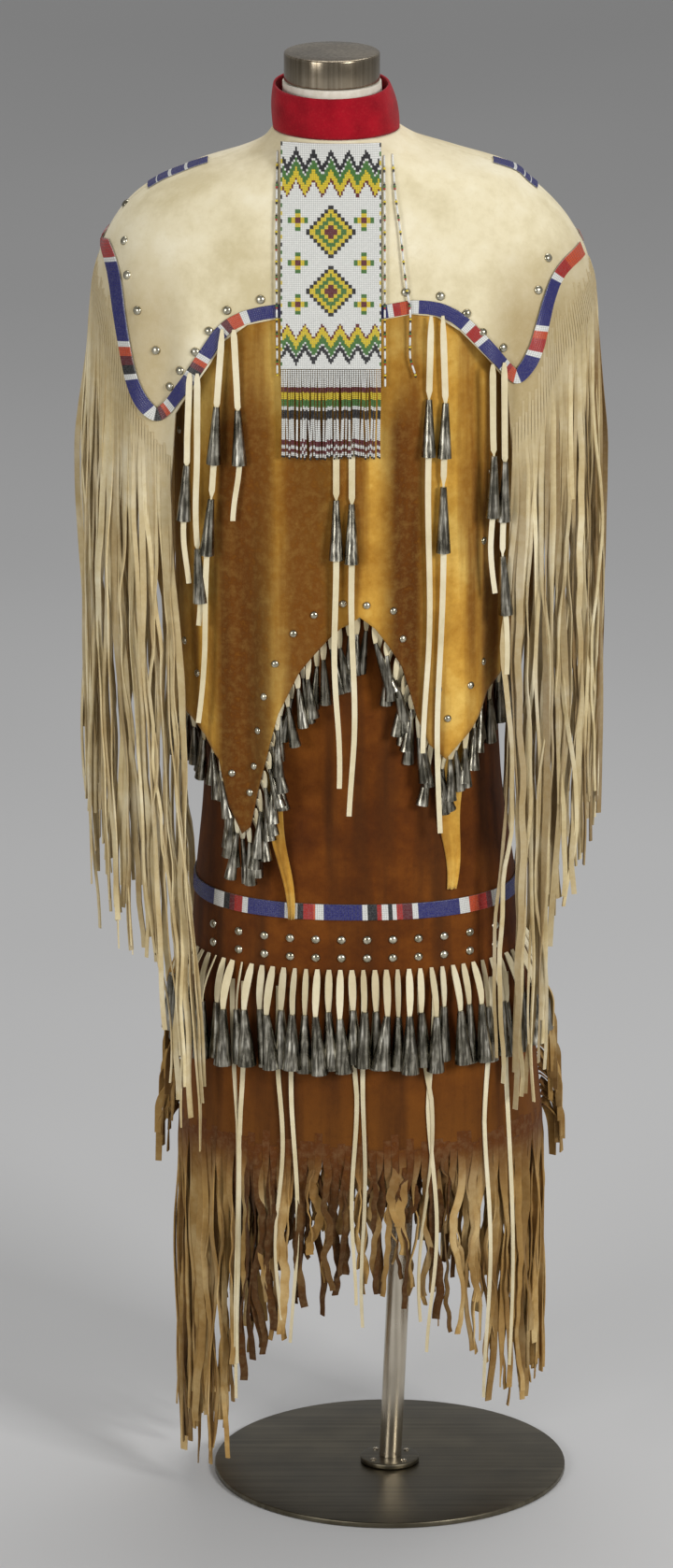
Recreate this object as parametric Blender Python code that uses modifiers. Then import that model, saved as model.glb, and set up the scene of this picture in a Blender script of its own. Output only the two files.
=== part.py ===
"""A fringed buckskin dress with bead bands and tin cones, worn by a limbless dress form on a steel stand.

Metres, +Z up. The origin is the middle of the base plate's underside. The front of the dress faces -Y and
its right side, as seen from the front, is at +X. Angles run round the body from the front (0) to +X (90).
Each cloth piece is an open surface on a loft of rings, given its wall by Solidify. Each fringe is a comb: a
narrow strip whose lower edge runs on as separate strands.
"""

import math
from collections import namedtuple

import bmesh
import bpy
import numpy as np

# Gaps and walls
SEAM = 0.0003
REST = 0.0006
YOKE_RIDGE = 0.0004
BODICE_RIDGE = 0.0009
SKIRT_RIDGE = 0.0015
HIDE = 0.002
WOOL = 0.0025
BEADWORK = 0.0015

# Stand
PLATE_RADIUS = 0.190
PLATE_HEIGHT = 0.006
FLANGE_RADIUS = 0.0318
FLANGE_HEIGHT = 0.006
POLE_RADIUS = 0.0121
POLE_LEAN = 0.043
CAP_CENTRE = -0.0626
CAP_RADIUS = 0.0500
CAP_HEIGHT = 0.0307
FORM_TOP = 1.5367
FORM_BOTTOM = 0.780

# Heights on the dress
NECK = 1.488
COLLAR_TOP = 1.5345
COLLAR_DIP = 0.004
BODICE_TOP = 1.345
ARMHOLE_DROP = 0.090
SKIRT_TOP = 1.052
SKIRT_SEAM = 1.036
SKIRT_BLEND = 0.034
SKIRT_EDGE = 0.405
SKIRT_BAND_LOW = 0.6627
SKIRT_BAND_HIGH = 0.6803
CONE_ROW = 0.606
THONG_ROW = 0.588
BIB_BOTTOM = 1.264

# Widths and lengths of the trim
STRIP = 0.005
STRAND_DEPTH = 0.0016
BAND = 0.014
BIB_LEFT = -0.1157
BIB_RIGHT = -0.0115
BIB_WALL = 0.0025
BIB_WRAP = 0.60
BIB_REST = 1.318
BIB_HANG = 0.0035
BIB_LIFT = 0.0032
BIB_FRINGE_END = 1.1686

# Strands
SLEEVE_STRANDS = 14
HEM_STRANDS = 22
SKIRT_CONES = 18
BODICE_CONES = 18
BIB_STRANDS = 12
SIDE_STRANDS = 6
SLEEVE_SWING = {-1: 0.011, 1: 0.004}
SLEEVE_DRIFT = {-1: 0.036, 1: 0.008}

Section = namedtuple("Section", "z centre half_width front back square")
Fold = namedtuple("Fold", "x width depth top reach")
Edge = namedtuple("Edge", "x z")
Station = namedtuple("Station", "centre across depth")
Finish = namedtuple("Finish", "colour roughness metallic")
Cone = namedtuple("Cone", "thong long neck mouth")

LARGE_CONE = Cone(0.047, 0.061, 0.0055, 0.0150)
SMALL_CONE = Cone(0.020, 0.048, 0.0035, 0.0084)

YOKE = [
    Section(1.488, -0.058, 0.0660, 0.066, 0.066, 2.00),
    Section(1.475, -0.052, 0.0830, 0.078, 0.074, 2.00),
    Section(1.460, -0.044, 0.1220, 0.092, 0.086, 2.10),
    Section(1.445, -0.043, 0.1700, 0.103, 0.097, 2.20),
    Section(1.432, -0.050, 0.1930, 0.110, 0.104, 2.25),
    Section(1.411, -0.053, 0.2195, 0.118, 0.112, 2.30),
    Section(1.385, -0.0525, 0.2400, 0.126, 0.119, 2.35),
    Section(1.353, -0.051, 0.2550, 0.133, 0.125, 2.40),
    Section(1.320, -0.050, 0.2620, 0.138, 0.130, 2.40),
    Section(1.270, -0.049, 0.2660, 0.141, 0.133, 2.40),
    Section(1.120, -0.048, 0.2640, 0.144, 0.135, 2.40),
]
BODICE = [
    Section(1.345, -0.0505, 0.1740, 0.1316, 0.1238, 3.20),
    Section(1.310, -0.0500, 0.1770, 0.1362, 0.1284, 3.20),
    Section(1.250, -0.0500, 0.1780, 0.1395, 0.1315, 3.10),
    Section(1.100, -0.0500, 0.1780, 0.1480, 0.1370, 2.70),
    Section(1.000, -0.0495, 0.1780, 0.1530, 0.1420, 2.50),
    Section(0.880, -0.0495, 0.1785, 0.1560, 0.1450, 2.40),
    Section(0.740, -0.0495, 0.1780, 0.1570, 0.1460, 2.40),
]
SKIRT = [
    Section(1.052, -0.0480, 0.1620, 0.1340, 0.1240, 2.40),
    Section(0.970, -0.0460, 0.1570, 0.1320, 0.1220, 2.35),
    Section(0.900, -0.0440, 0.1550, 0.1310, 0.1220, 2.30),
    Section(0.800, -0.0410, 0.1570, 0.1310, 0.1230, 2.30),
    Section(0.660, -0.0370, 0.1720, 0.1330, 0.1260, 2.30),
    Section(0.500, -0.0330, 0.1870, 0.1370, 0.1300, 2.30),
    Section(0.405, -0.0320, 0.1950, 0.1380, 0.1320, 2.30),
]
FORM = [
    Section(1.5367, -0.0626, 0.0515, 0.0515, 0.0515, 2.0),
    Section(1.4950, -0.0605, 0.0530, 0.0540, 0.0530, 2.0),
    Section(1.4835, -0.0570, 0.0630, 0.0610, 0.0600, 2.0),
    Section(1.4728, -0.0520, 0.0810, 0.0715, 0.0690, 2.0),
    Section(1.4578, -0.0440, 0.1190, 0.0850, 0.0805, 2.1),
    Section(1.4430, -0.0450, 0.1600, 0.0940, 0.0890, 2.2),
    Section(1.4200, -0.0490, 0.1760, 0.1030, 0.0970, 2.2),
    Section(1.3800, -0.0500, 0.1680, 0.1150, 0.1050, 2.2),
    Section(1.2700, -0.0500, 0.1480, 0.1260, 0.1050, 2.1),
    Section(1.1800, -0.0500, 0.1320, 0.1080, 0.0950, 2.0),
    Section(1.0900, -0.0490, 0.1200, 0.0950, 0.0900, 2.0),
    Section(1.0000, -0.0460, 0.1340, 0.1030, 0.1040, 2.0),
    Section(0.9000, -0.0430, 0.1440, 0.1100, 0.1120, 2.1),
    Section(0.8000, -0.0400, 0.1420, 0.1080, 0.1100, 2.1),
    Section(0.7800, -0.0390, 0.1340, 0.1000, 0.1020, 2.1),
]
COLLAR = [
    Section(1.540, -0.0635, 0.0600, 0.0600, 0.0600, 2.0),
    Section(1.488, -0.0580, 0.0660, 0.0660, 0.0660, 2.0),
]

SKIRT_ROWS = (SKIRT_TOP, SKIRT_SEAM, SKIRT_SEAM - SKIRT_BLEND, 0.880, 0.720, 0.560, SKIRT_EDGE)

YOKE_FOLDS = [
    Fold(-0.264, 0.016, 0.0040, 1.40, 0.16),
    Fold(-0.238, 0.015, -0.0045, 1.38, 0.16),
    Fold(-0.208, 0.017, 0.0035, 1.37, 0.14),
    Fold(0.098, 0.016, 0.0035, 1.38, 0.14),
    Fold(0.124, 0.014, -0.0040, 1.39, 0.14),
    Fold(0.152, 0.015, 0.0045, 1.41, 0.16),
    Fold(0.180, 0.014, -0.0035, 1.39, 0.12),
]
BODICE_FOLDS = [
    Fold(-0.179, 0.015, 0.0060, 1.24, 0.34),
    Fold(-0.152, 0.014, -0.0035, 1.20, 0.34),
    Fold(-0.125, 0.016, 0.0065, 1.24, 0.34),
    Fold(-0.060, 0.022, -0.0030, 1.15, 0.25),
    Fold(-0.018, 0.020, 0.0040, 1.15, 0.20),
    Fold(0.021, 0.017, -0.0060, 1.20, 0.26),
    Fold(0.079, 0.018, 0.0080, 1.24, 0.30),
    Fold(0.104, 0.010, -0.0040, 1.16, 0.20),
]
SKIRT_FOLDS = [
    Fold(-0.150, 0.018, 0.0030, 0.62, 0.20),
    Fold(-0.095, 0.018, -0.0030, 0.62, 0.20),
    Fold(0.005, 0.020, 0.0030, 0.60, 0.18),
    Fold(0.070, 0.020, -0.0030, 0.62, 0.20),
]

YOKE_SIDE_ENDS = (1.323, 1.325)
YOKE_EDGE = [
    Edge(-0.309, 1.300),
    Edge(-0.300, 1.275),
    Edge(-0.287, 1.228),
    Edge(-0.262, 1.186),
    Edge(-0.245, 1.158),
    Edge(-0.232, 1.133),
    Edge(-0.226, 1.209),
    Edge(-0.205, 1.238),
    Edge(-0.189, 1.264),
    Edge(-0.174, 1.290),
    Edge(-0.150, 1.308),
    Edge(-0.116, 1.316),
    Edge(-0.080, 1.312),
    Edge(-0.043, 1.311),
    Edge(-0.010, 1.315),
    Edge(0.020, 1.320),
    Edge(0.045, 1.317),
    Edge(0.070, 1.301),
    Edge(0.092, 1.277),
    Edge(0.112, 1.254),
    Edge(0.121, 1.244),
    Edge(0.127, 1.162),
    Edge(0.152, 1.200),
    Edge(0.165, 1.232),
    Edge(0.183, 1.268),
    Edge(0.200, 1.292),
    Edge(0.210, 1.312),
]
BODICE_SIDE_ENDS = (0.880, 0.930)
BODICE_EDGE = [
    Edge(-0.223, 0.878),
    Edge(-0.210, 0.872),
    Edge(-0.195, 0.859),
    Edge(-0.178, 0.838),
    Edge(-0.169, 0.788),
    Edge(-0.158, 0.758),
    Edge(-0.150, 0.766),
    Edge(-0.141, 0.807),
    Edge(-0.129, 0.848),
    Edge(-0.117, 0.895),
    Edge(-0.097, 0.939),
    Edge(-0.072, 0.969),
    Edge(-0.052, 0.988),
    Edge(-0.034, 1.000),
    Edge(-0.018, 0.988),
    Edge(-0.004, 0.969),
    Edge(0.012, 0.944),
    Edge(0.020, 0.919),
    Edge(0.028, 0.888),
    Edge(0.040, 0.858),
    Edge(0.056, 0.841),
    Edge(0.068, 0.857),
    Edge(0.085, 0.879),
    Edge(0.102, 0.904),
    Edge(0.118, 0.922),
]
YOKE_BAND = [
    Edge(-0.2990, 1.3710),
    Edge(-0.2972, 1.3692),
    Edge(-0.2955, 1.3670),
    Edge(-0.2934, 1.3632),
    Edge(-0.2905, 1.3565),
    Edge(-0.2875, 1.3460),
    Edge(-0.2848, 1.3310),
    Edge(-0.2820, 1.310),
    Edge(-0.2778, 1.286),
    Edge(-0.2725, 1.260),
    Edge(-0.2682, 1.2430),
    Edge(-0.2640, 1.2310),
    Edge(-0.2595, 1.2210),
    Edge(-0.2545, 1.213),
    Edge(-0.2460, 1.204),
    Edge(-0.2330, 1.216),
    Edge(-0.2220, 1.230),
    Edge(-0.2100, 1.246),
    Edge(-0.1970, 1.268),
    Edge(-0.1800, 1.296),
    Edge(-0.1680, 1.308),
    Edge(-0.1530, 1.316),
    Edge(-0.1350, 1.321),
    Edge(-0.1160, 1.324),
    Edge(-0.0800, 1.320),
    Edge(-0.0430, 1.319),
    Edge(-0.0100, 1.323),
    Edge(0.0200, 1.328),
    Edge(0.0360, 1.327),
    Edge(0.0500, 1.324),
    Edge(0.0640, 1.317),
    Edge(0.0760, 1.307),
    Edge(0.0870, 1.295),
    Edge(0.0980, 1.282),
    Edge(0.1090, 1.269),
    Edge(0.1200, 1.257),
    Edge(0.1310, 1.246),
    Edge(0.1410, 1.262),
    Edge(0.1480, 1.280),
    Edge(0.1530, 1.300),
    Edge(0.1590, 1.322),
    Edge(0.1665, 1.3405),
    Edge(0.1740, 1.3510),
    Edge(0.1820, 1.3575),
    Edge(0.1890, 1.3610),
    Edge(0.1940, 1.3628),
    Edge(0.1970, 1.3640),
]
HEM_TIPS = [
    Edge(-0.240, 0.060),
    Edge(-0.222, 0.034),
    Edge(-0.205, 0.030),
    Edge(-0.188, 0.046),
    Edge(-0.175, 0.090),
    Edge(-0.158, 0.171),
    Edge(-0.120, 0.200),
    Edge(-0.102, 0.208),
    Edge(-0.088, 0.228),
    Edge(-0.048, 0.258),
    Edge(-0.011, 0.260),
    Edge(0.033, 0.238),
    Edge(0.069, 0.198),
    Edge(0.090, 0.170),
    Edge(0.108, 0.113),
    Edge(0.134, 0.108),
    Edge(0.159, 0.113),
    Edge(0.170, 0.150),
]
LEFT_SLEEVE_TIPS = [
    Edge(-0.312, 0.823),
    Edge(-0.306, 0.660),
    Edge(-0.286, 0.654),
    Edge(-0.266, 0.650),
    Edge(-0.252, 0.480),
    Edge(-0.237, 0.430),
]
RIGHT_SLEEVE_TIPS = [
    Edge(0.126, 0.470),
    Edge(0.141, 0.460),
    Edge(0.156, 0.470),
    Edge(0.170, 0.630),
    Edge(0.185, 0.665),
    Edge(0.195, 0.722),
    Edge(0.210, 0.757),
    Edge(0.216, 0.813),
]
LONG_THONGS = [
    Edge(-0.168, 0.120),
    Edge(-0.156, 0.160),
    Edge(-0.119, 0.215),
    Edge(-0.104, 0.190),
    Edge(-0.042, 0.235),
    Edge(-0.029, 0.210),
    Edge(0.030, 0.215),
    Edge(0.046, 0.180),
    Edge(0.106, 0.120),
    Edge(0.122, 0.150),
]

FINISHES = {
    "cream_hide": Finish((0.78, 0.71, 0.56), 0.85, 0.0),
    "golden_hide": Finish((0.52, 0.31, 0.08), 0.85, 0.0),
    "rust_hide": Finish((0.24, 0.09, 0.03), 0.85, 0.0),
    "red_wool": Finish((0.36, 0.01, 0.03), 0.90, 0.0),
    "beadwork": Finish((0.09, 0.09, 0.34), 0.35, 0.0),
    "white_beadwork": Finish((0.78, 0.78, 0.74), 0.35, 0.0),
    "tin": Finish((0.09, 0.09, 0.085), 0.40, 0.9),
    "brushed_steel": Finish((0.48, 0.46, 0.43), 0.35, 1.0),
    "form_cover": Finish((0.80, 0.76, 0.66), 0.80, 0.0),
}

rng = np.random.default_rng(11)


def clear_scene():
    for item in list(bpy.data.objects):
        bpy.data.objects.remove(item, do_unlink=True)


def collection_for_dress():
    group = bpy.data.collections.new("buckskin_dress_on_form")
    bpy.context.scene.collection.children.link(group)
    return group


def material(name):
    """The Principled material of one finish, made the first time it is asked for."""
    made = bpy.data.materials.get(name)
    if made:
        return made
    finish = FINISHES[name]
    made = bpy.data.materials.new(name)
    made.use_nodes = True
    shader = made.node_tree.nodes["Principled BSDF"]
    shader.inputs["Base Color"].default_value = (*finish.colour, 1.0)
    shader.inputs["Roughness"].default_value = finish.roughness
    shader.inputs["Metallic"].default_value = finish.metallic
    return made


def add_object(name, mesh, finish):
    piece = bpy.data.objects.new(name, mesh)
    piece.data.materials.append(material(finish))
    dress.objects.link(piece)
    return piece


def mesh_from_points(name, points, faces):
    mesh = bpy.data.meshes.new(name)
    mesh.from_pydata([tuple(p) for p in points], [], faces)
    mesh.shade_smooth()
    return mesh


def smooth_column(at, known, values):
    """Values between the rows of a table, on a curve that never overshoots them."""
    order = np.argsort(known)
    x = np.asarray(known, float)[order]
    y = np.asarray(values, float)[order]
    step = np.diff(x)
    slope = np.diff(y) / step
    lean = np.zeros(len(x))
    before, after = slope[:-1], slope[1:]
    same_way = before * after > 0
    both = np.where(same_way, before + after, 1.0)
    lean[1:-1] = np.where(same_way, 2 * before * after / both, 0.0)
    lean[0] = slope[0]
    lean[-1] = slope[-1]
    place = np.clip(np.asarray(at, float), x[0], x[-1])
    k = np.clip(np.searchsorted(x, place) - 1, 0, len(step) - 1)
    t = (place - x[k]) / step[k]
    rise = y[k + 1] - y[k]
    return (
        y[k]
        + rise * t * t * (3 - 2 * t)
        + step[k] * t * (1 - t) * (lean[k] * (1 - t) - lean[k + 1] * t)
    )


def column(sections, field, z):
    return smooth_column(z, [s.z for s in sections], [getattr(s, field) for s in sections])


def power(value, exponent):
    return np.sign(value) * np.abs(value) ** exponent


def fold_depth(folds, x, z):
    """How far the folds push the cloth out at x and z. The back has the front's folds, mirrored."""
    depth = np.zeros(np.broadcast(x, z).shape)
    for fold in folds:
        ramp = np.clip((fold.top - z) / fold.reach, 0, 1)
        depth = depth + fold.depth * ramp * np.exp(-(((x - fold.x) / fold.width) ** 2))
    return depth


def ring(sections, folds, angle, z):
    """Points of the lofted rings at these angles round the body and heights."""
    angle, z = np.broadcast_arrays(np.asarray(angle, float), np.asarray(z, float))
    share = 2 / column(sections, "square", z)
    side = np.sin(angle)
    ahead = np.cos(angle)
    depth = np.where(ahead >= 0, column(sections, "front", z), column(sections, "back", z))
    middle = column(sections, "centre", z)
    x = middle + column(sections, "half_width", z) * power(side, share)
    y = -depth * power(ahead, share)
    seen_x = np.where(ahead >= 0, x, 2 * middle - x)
    out = fold_depth(folds, seen_x, z) * np.abs(ahead) ** 0.5
    return np.stack([x + out * side, y - out * ahead, z], -1)


def yoke_at(angle, z):
    return ring(YOKE, YOKE_FOLDS, angle, z)


def bodice_at(angle, z):
    return ring(BODICE, BODICE_FOLDS, angle, z)


def skirt_at(angle, z):
    """The skirt's own rings, which rise into the seam just inside the bodice."""
    own = ring(SKIRT, SKIRT_FOLDS, angle, z)
    seam = moved(bodice_at, angle, z, -HIDE - REST)
    share = np.clip((own[..., 2:] - SKIRT_SEAM) / SKIRT_BLEND + 1, 0, 1)
    share = share * share * (3 - 2 * share)
    return own + (seam - own) * share


def form_at(angle, z):
    return ring(FORM, [], angle, z)


def collar_at(angle, z):
    return ring(COLLAR, [], angle, z)


def moved(surface, angle, z, out):
    """Points of a surface moved along its outward normal."""
    nudge = 1e-4
    angle, z = np.broadcast_arrays(np.asarray(angle, float), np.asarray(z, float))
    here = surface(angle, z)
    round_it = surface(angle + nudge, z) - surface(angle - nudge, z)
    up_it = surface(angle, z + nudge) - surface(angle, z - nudge)
    normal = np.cross(round_it, up_it)
    normal = normal / np.linalg.norm(normal, axis=-1, keepdims=True)
    return here + normal * out


def on_columns(surface, columns):
    """The surface as a panel's facets have it, which is straight between neighbouring columns."""
    def faceted(angle, z):
        angle, z = np.broadcast_arrays(np.asarray(angle, float), np.asarray(z, float))
        k = np.clip(np.searchsorted(columns, angle) - 1, 0, len(columns) - 2)
        share = (angle - columns[k]) / (columns[k + 1] - columns[k])
        left = surface(columns[k], z)
        return left + (surface(columns[k + 1], z) - left) * share[..., None]
    return faceted


def angle_at(sections, x, z, facing):
    """The angle of the ring's point with this x, on the front (facing 1) or the back (facing -1)."""
    reach = (np.asarray(x, float) - column(sections, "centre", z)) / column(sections, "half_width", z)
    side = power(np.clip(reach, -1, 1), column(sections, "square", z) / 2)
    angle = np.arcsin(np.clip(side, -1, 1))
    return angle if facing > 0 else math.pi - angle


def loft_faces(rows, columns, closed=False):
    faces = []
    for i in range(rows - 1):
        for j in range(columns if closed else columns - 1):
            k = (j + 1) % columns
            low = (i + 1) * columns
            high = i * columns
            faces.append((low + j, low + k, high + k, high + j))
    return faces


def add_wall(piece, thickness, offset=-1.0):
    wall = piece.modifiers.new("wall", "SOLIDIFY")
    wall.thickness = thickness
    wall.offset = offset
    wall.use_even_offset = True
    return wall


def sheet(name, finish, grid, thickness):
    """A cloth wall from a grid of outer points: rows run down, columns run round the body."""
    rows, columns = grid.shape[:2]
    mesh = mesh_from_points(name, grid.reshape(-1, 3), loft_faces(rows, columns))
    piece = add_object(name, mesh, finish)
    add_wall(piece, thickness)
    return piece


def part_at_ridge(grid, facing, gap):
    """Keeps a front or back panel clear of the plane in which the two panels meet."""
    grid[..., 1] = np.where(facing * grid[..., 1] > -gap, -facing * gap, grid[..., 1])
    return grid


def panel_columns(sections, edges, side_ends, facing):
    """Angles and lower heights of a panel's columns, from side to side, in the order of rising angle."""
    x = np.array([e.x for e in edges])
    z = np.array([e.z for e in edges])
    angles = angle_at(sections, x, z, facing)
    left = -math.pi / 2 if facing > 0 else 1.5 * math.pi
    right = math.pi / 2
    angles = np.concatenate([[left], angles, [right]])
    lows = np.concatenate([[side_ends[0]], z, [side_ends[1]]])
    order = np.argsort(angles)
    return angles[order], lows[order]


def make_yoke(name, facing):
    angles, lows = panel_columns(YOKE, YOKE_EDGE, YOKE_SIDE_ENDS, facing)
    shares = np.array([0.0, 0.07, 0.16, 0.25, 0.36, 0.50, 0.66, 0.83, 1.0])[:, None]
    grid = yoke_at(angles[None, :], NECK + (lows[None, :] - NECK) * shares)
    return sheet(name, "cream_hide", part_at_ridge(grid, facing, YOKE_RIDGE), HIDE)


def make_bodice(name, facing):
    angles, lows = panel_columns(BODICE, BODICE_EDGE, BODICE_SIDE_ENDS, facing)
    tops = BODICE_TOP - ARMHOLE_DROP * np.abs(np.sin(angles)) ** 4
    shares = np.linspace(0, 1, 7)[:, None]
    grid = bodice_at(angles[None, :], tops[None, :] + (lows - tops)[None, :] * shares)
    return sheet(name, "golden_hide", part_at_ridge(grid, facing, BODICE_RIDGE), HIDE)


def make_skirt(name, facing):
    angles, _ = panel_columns(BODICE, BODICE_EDGE, BODICE_SIDE_ENDS, facing)
    grid = skirt_at(angles[None, :], np.array(SKIRT_ROWS)[:, None])
    return sheet(name, "rust_hide", part_at_ridge(grid, facing, SKIRT_RIDGE), HIDE)


def make_collar():
    """A stand collar of wool, open a little at the back of the neck."""
    opening = math.radians(2.0)
    angles = np.linspace(-math.pi + opening, math.pi - opening, 29)
    top = COLLAR_TOP - COLLAR_DIP * np.cos(angles)
    heights = np.stack([top, np.full(len(angles), NECK + SEAM)])
    return sheet("collar_band", "red_wool", collar_at(angles[None, :], heights), WOOL)


def ribbon_borders(path, width):
    """The two borders of a ribbon of even width along a path drawn in x and z."""
    points = np.array([(e.x, e.z) for e in path])
    ahead = np.gradient(points, axis=0)
    ahead = ahead / np.linalg.norm(ahead, axis=1, keepdims=True)
    across = np.stack([-ahead[:, 1], ahead[:, 0]], 1)
    return points + across * width / 2, points - across * width / 2


def make_yoke_band(name, facing):
    """A bead band on the yoke, along its lower edge and up each sleeve."""
    columns, _ = panel_columns(YOKE, YOKE_EDGE, YOKE_SIDE_ENDS, facing)
    panel = on_columns(yoke_at, columns)
    rows = []
    for border in ribbon_borders(YOKE_BAND, BAND):
        x, z = border.T
        angles = np.clip(angle_at(YOKE, x, z, facing), columns[0] + 0.012, columns[-1] - 0.012)
        lift = REST + 0.0022 * np.clip(np.abs(x - CAP_CENTRE) / 0.18, 0, 1)[:, None] ** 2
        rows.append(moved(panel, angles, z, lift + BEADWORK))
    grid = np.stack(rows)
    if facing < 0:
        grid = grid[:, ::-1]
    return sheet(name, "beadwork", grid, BEADWORK)


def make_skirt_band(name, facing):
    angles = skirt_columns(facing)
    heights = np.array([SKIRT_BAND_HIGH, SKIRT_BAND_LOW])[:, None]
    grid = moved(skirt_panel(facing), angles[None, :], heights, REST + BEADWORK)
    return sheet(name, "beadwork", grid, BEADWORK)


def skirt_panel(facing):
    """The skirt's surface with its panel's facets."""
    columns, _ = panel_columns(BODICE, BODICE_EDGE, BODICE_SIDE_ENDS, facing)
    across = on_columns(skirt_at, columns)

    def faceted(angle, z):
        angle, z = np.broadcast_arrays(np.asarray(angle, float), np.asarray(z, float))
        heights = np.array(SKIRT_ROWS[::-1])
        k = np.clip(np.searchsorted(heights, z) - 1, 0, len(heights) - 2)
        share = (z - heights[k]) / (heights[k + 1] - heights[k])
        low = across(angle, heights[k])
        return low + (across(angle, heights[k + 1]) - low) * share[..., None]
    return faceted


def skirt_columns(facing, margin=0.05):
    """The skirt panel's column angles, with the two at the side seams drawn in by a margin."""
    angles, _ = panel_columns(BODICE, BODICE_EDGE, BODICE_SIDE_ENDS, facing)
    angles[0] += margin
    angles[-1] -= margin
    return angles


def spread_angles(facing, count, margin):
    """Angles from side to side over the front or the back, kept off the side seams by a margin."""
    start = -math.pi / 2 if facing > 0 else math.pi / 2
    return np.linspace(start + margin, start + math.pi - margin, count)


def make_shoulder_band(name, side):
    """A bead strip laid along the ridge of a shoulder, over the seam of front and back."""
    heights = np.array([1.4520, 1.4490, 1.4440, 1.4380, 1.4320, 1.4250])
    reach = np.array([-0.012, -0.006, 0.0, 0.006, 0.012])
    angles = side * math.pi / 2 + side * reach[None, :] / column(YOKE, "front", heights)[:, None]
    grid = moved(yoke_at, angles, heights[:, None], REST + BEADWORK)
    if side < 0:
        grid = grid[:, ::-1]
    return sheet(name, "beadwork", grid, BEADWORK)


def bib_point(x, z, out):
    """A point on the bib's outer face, which lies on the yoke and then hangs clear of the bodice."""
    middle = (BIB_LEFT + BIB_RIGHT) / 2
    above = np.maximum(z, BIB_REST)
    angle = angle_at(YOKE, middle + BIB_WRAP * (x - middle), above, 1)
    lying = moved(yoke_at, angle, above, out)
    hang = np.clip((BIB_REST - z) / (BIB_REST - BIB_BOTTOM), 0, None)
    lying[..., 1] -= BIB_HANG * hang
    lying[..., 0] = x
    lying[..., 2] = z
    return lying


def make_bib():
    x = np.linspace(BIB_LEFT, BIB_RIGHT, 8)[None, :]
    z = np.array([1.486, 1.476, 1.461, 1.445, 1.425, 1.400, 1.360, BIB_REST, BIB_BOTTOM])[:, None]
    x, z = np.broadcast_arrays(x, z)
    out = BIB_WALL + BIB_LIFT
    return sheet("bib_panel", "white_beadwork", bib_point(x, z, out), BIB_WALL)


def plan_run(line):
    """How far along a line each of its points lies, as seen from above, from 0 to 1."""
    steps = np.hypot(*np.diff(line[:, :2], axis=0).T)
    run = np.concatenate([[0], np.cumsum(steps)])
    return run / run[-1]


def strand_shares(count, share):
    """The two sides of each of a row of even strands, as shares of the row's length."""
    middle = (np.arange(count) + 0.5) / count
    half = share / (2 * count)
    return np.stack([middle - half, middle + half], 1)


def strip_borders(low_line, high_line, shares):
    """A strip's two borders: a panel's columns with the strands' sides set in among them, and each root."""
    run = plan_run(low_line)
    room = 0.0012
    free = [r for r in run if all(r < a - room or r > b + room for a, b in shares)]
    at = np.array(sorted(free + [side for pair in shares for side in pair]))
    roots = [int(np.searchsorted(at, a - 1e-9)) for a, _ in shares]
    low = np.stack([np.interp(at, run, low_line[:, k]) for k in range(3)], 1)
    high = np.stack([np.interp(at, run, high_line[:, k]) for k in range(3)], 1)
    return low, high, roots


def comb(name, finish, low, high, roots, strands, strip_depth):
    """A strip between two borders, with strands that run on from its lower border.

    A strand starts at two neighbouring points of the border, the first of them given by roots. Each station
    gives the strand's middle, the vector from there to its right side, and its depth. Solidify takes the depth
    from a vertex group.
    """
    deepest = max([strip_depth] + [s.depth for strand in strands for s in strand])
    count = len(low)
    points = [tuple(p) for p in high] + [tuple(p) for p in low]
    depths = [strip_depth] * (2 * count)
    faces = loft_faces(2, count)
    for root, strand in zip(roots, strands, strict=True):
        last = (count + root, count + root + 1)
        for station in strand:
            points.append(tuple(station.centre - station.across))
            points.append(tuple(station.centre + station.across))
            depths += [station.depth, station.depth]
            here = (len(points) - 2, len(points) - 1)
            faces.append((here[0], here[1], last[1], last[0]))
            last = here
    piece = add_object(name, mesh_from_points(name, points, faces), finish)
    group = piece.vertex_groups.new(name="depth")
    for index, depth in enumerate(depths):
        group.add([index], depth / deepest, "REPLACE")
    wall = add_wall(piece, deepest, 0.0)
    wall.use_even_offset = False
    wall.vertex_group = "depth"
    wall.thickness_vertex_group = 0.0
    return piece


def plan_frame(low, root):
    """The middle of a strand's root, the level direction across it, and the level direction outwards."""
    left, right = low[root], low[root + 1]
    across = (right - left) * np.array([1.0, 1.0, 0.0])
    across = across / np.linalg.norm(across)
    return (left + right) / 2, across, np.array([across[1], -across[0], 0.0])


def hanging_strand(low, at, tip, swing, drift, rows):
    """A cut strand that hangs from its root to a height, drifting along and swinging out a little."""
    root, across, out = plan_frame(low, at)
    half_width = 0.5 * np.linalg.norm((low[at + 1] - low[at])[:2])
    stations = []
    for share in np.linspace(0, 1, rows + 1)[1:]:
        centre = root + np.array([0.0, 0.0, (tip - root[2]) * share])
        centre = centre + out * swing * math.sin(0.5 * math.pi * min(1.0, 2 * share)) + drift * share**1.6
        narrowing = 1.0 - 0.35 * share
        stations.append(Station(centre, across * half_width * narrowing, STRAND_DEPTH))
    return stations


def cone_strand(low, at, cone, hang_out):
    """A thong that ends in a tin cone, hanging straight down from its root and standing off it."""
    root, across, out = plan_frame(low, at)
    down = np.array([0.0, 0.0, -1.0])
    return [
        Station(root + down * cone.thong + out * hang_out, across * cone.neck / 2, cone.neck),
        Station(root + down * (cone.thong + cone.long) + out * hang_out, across * cone.mouth / 2, cone.mouth),
    ]


def edge_line(surface, angles, heights, out):
    return moved(surface, angles, np.broadcast_to(heights, angles.shape), out)


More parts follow.
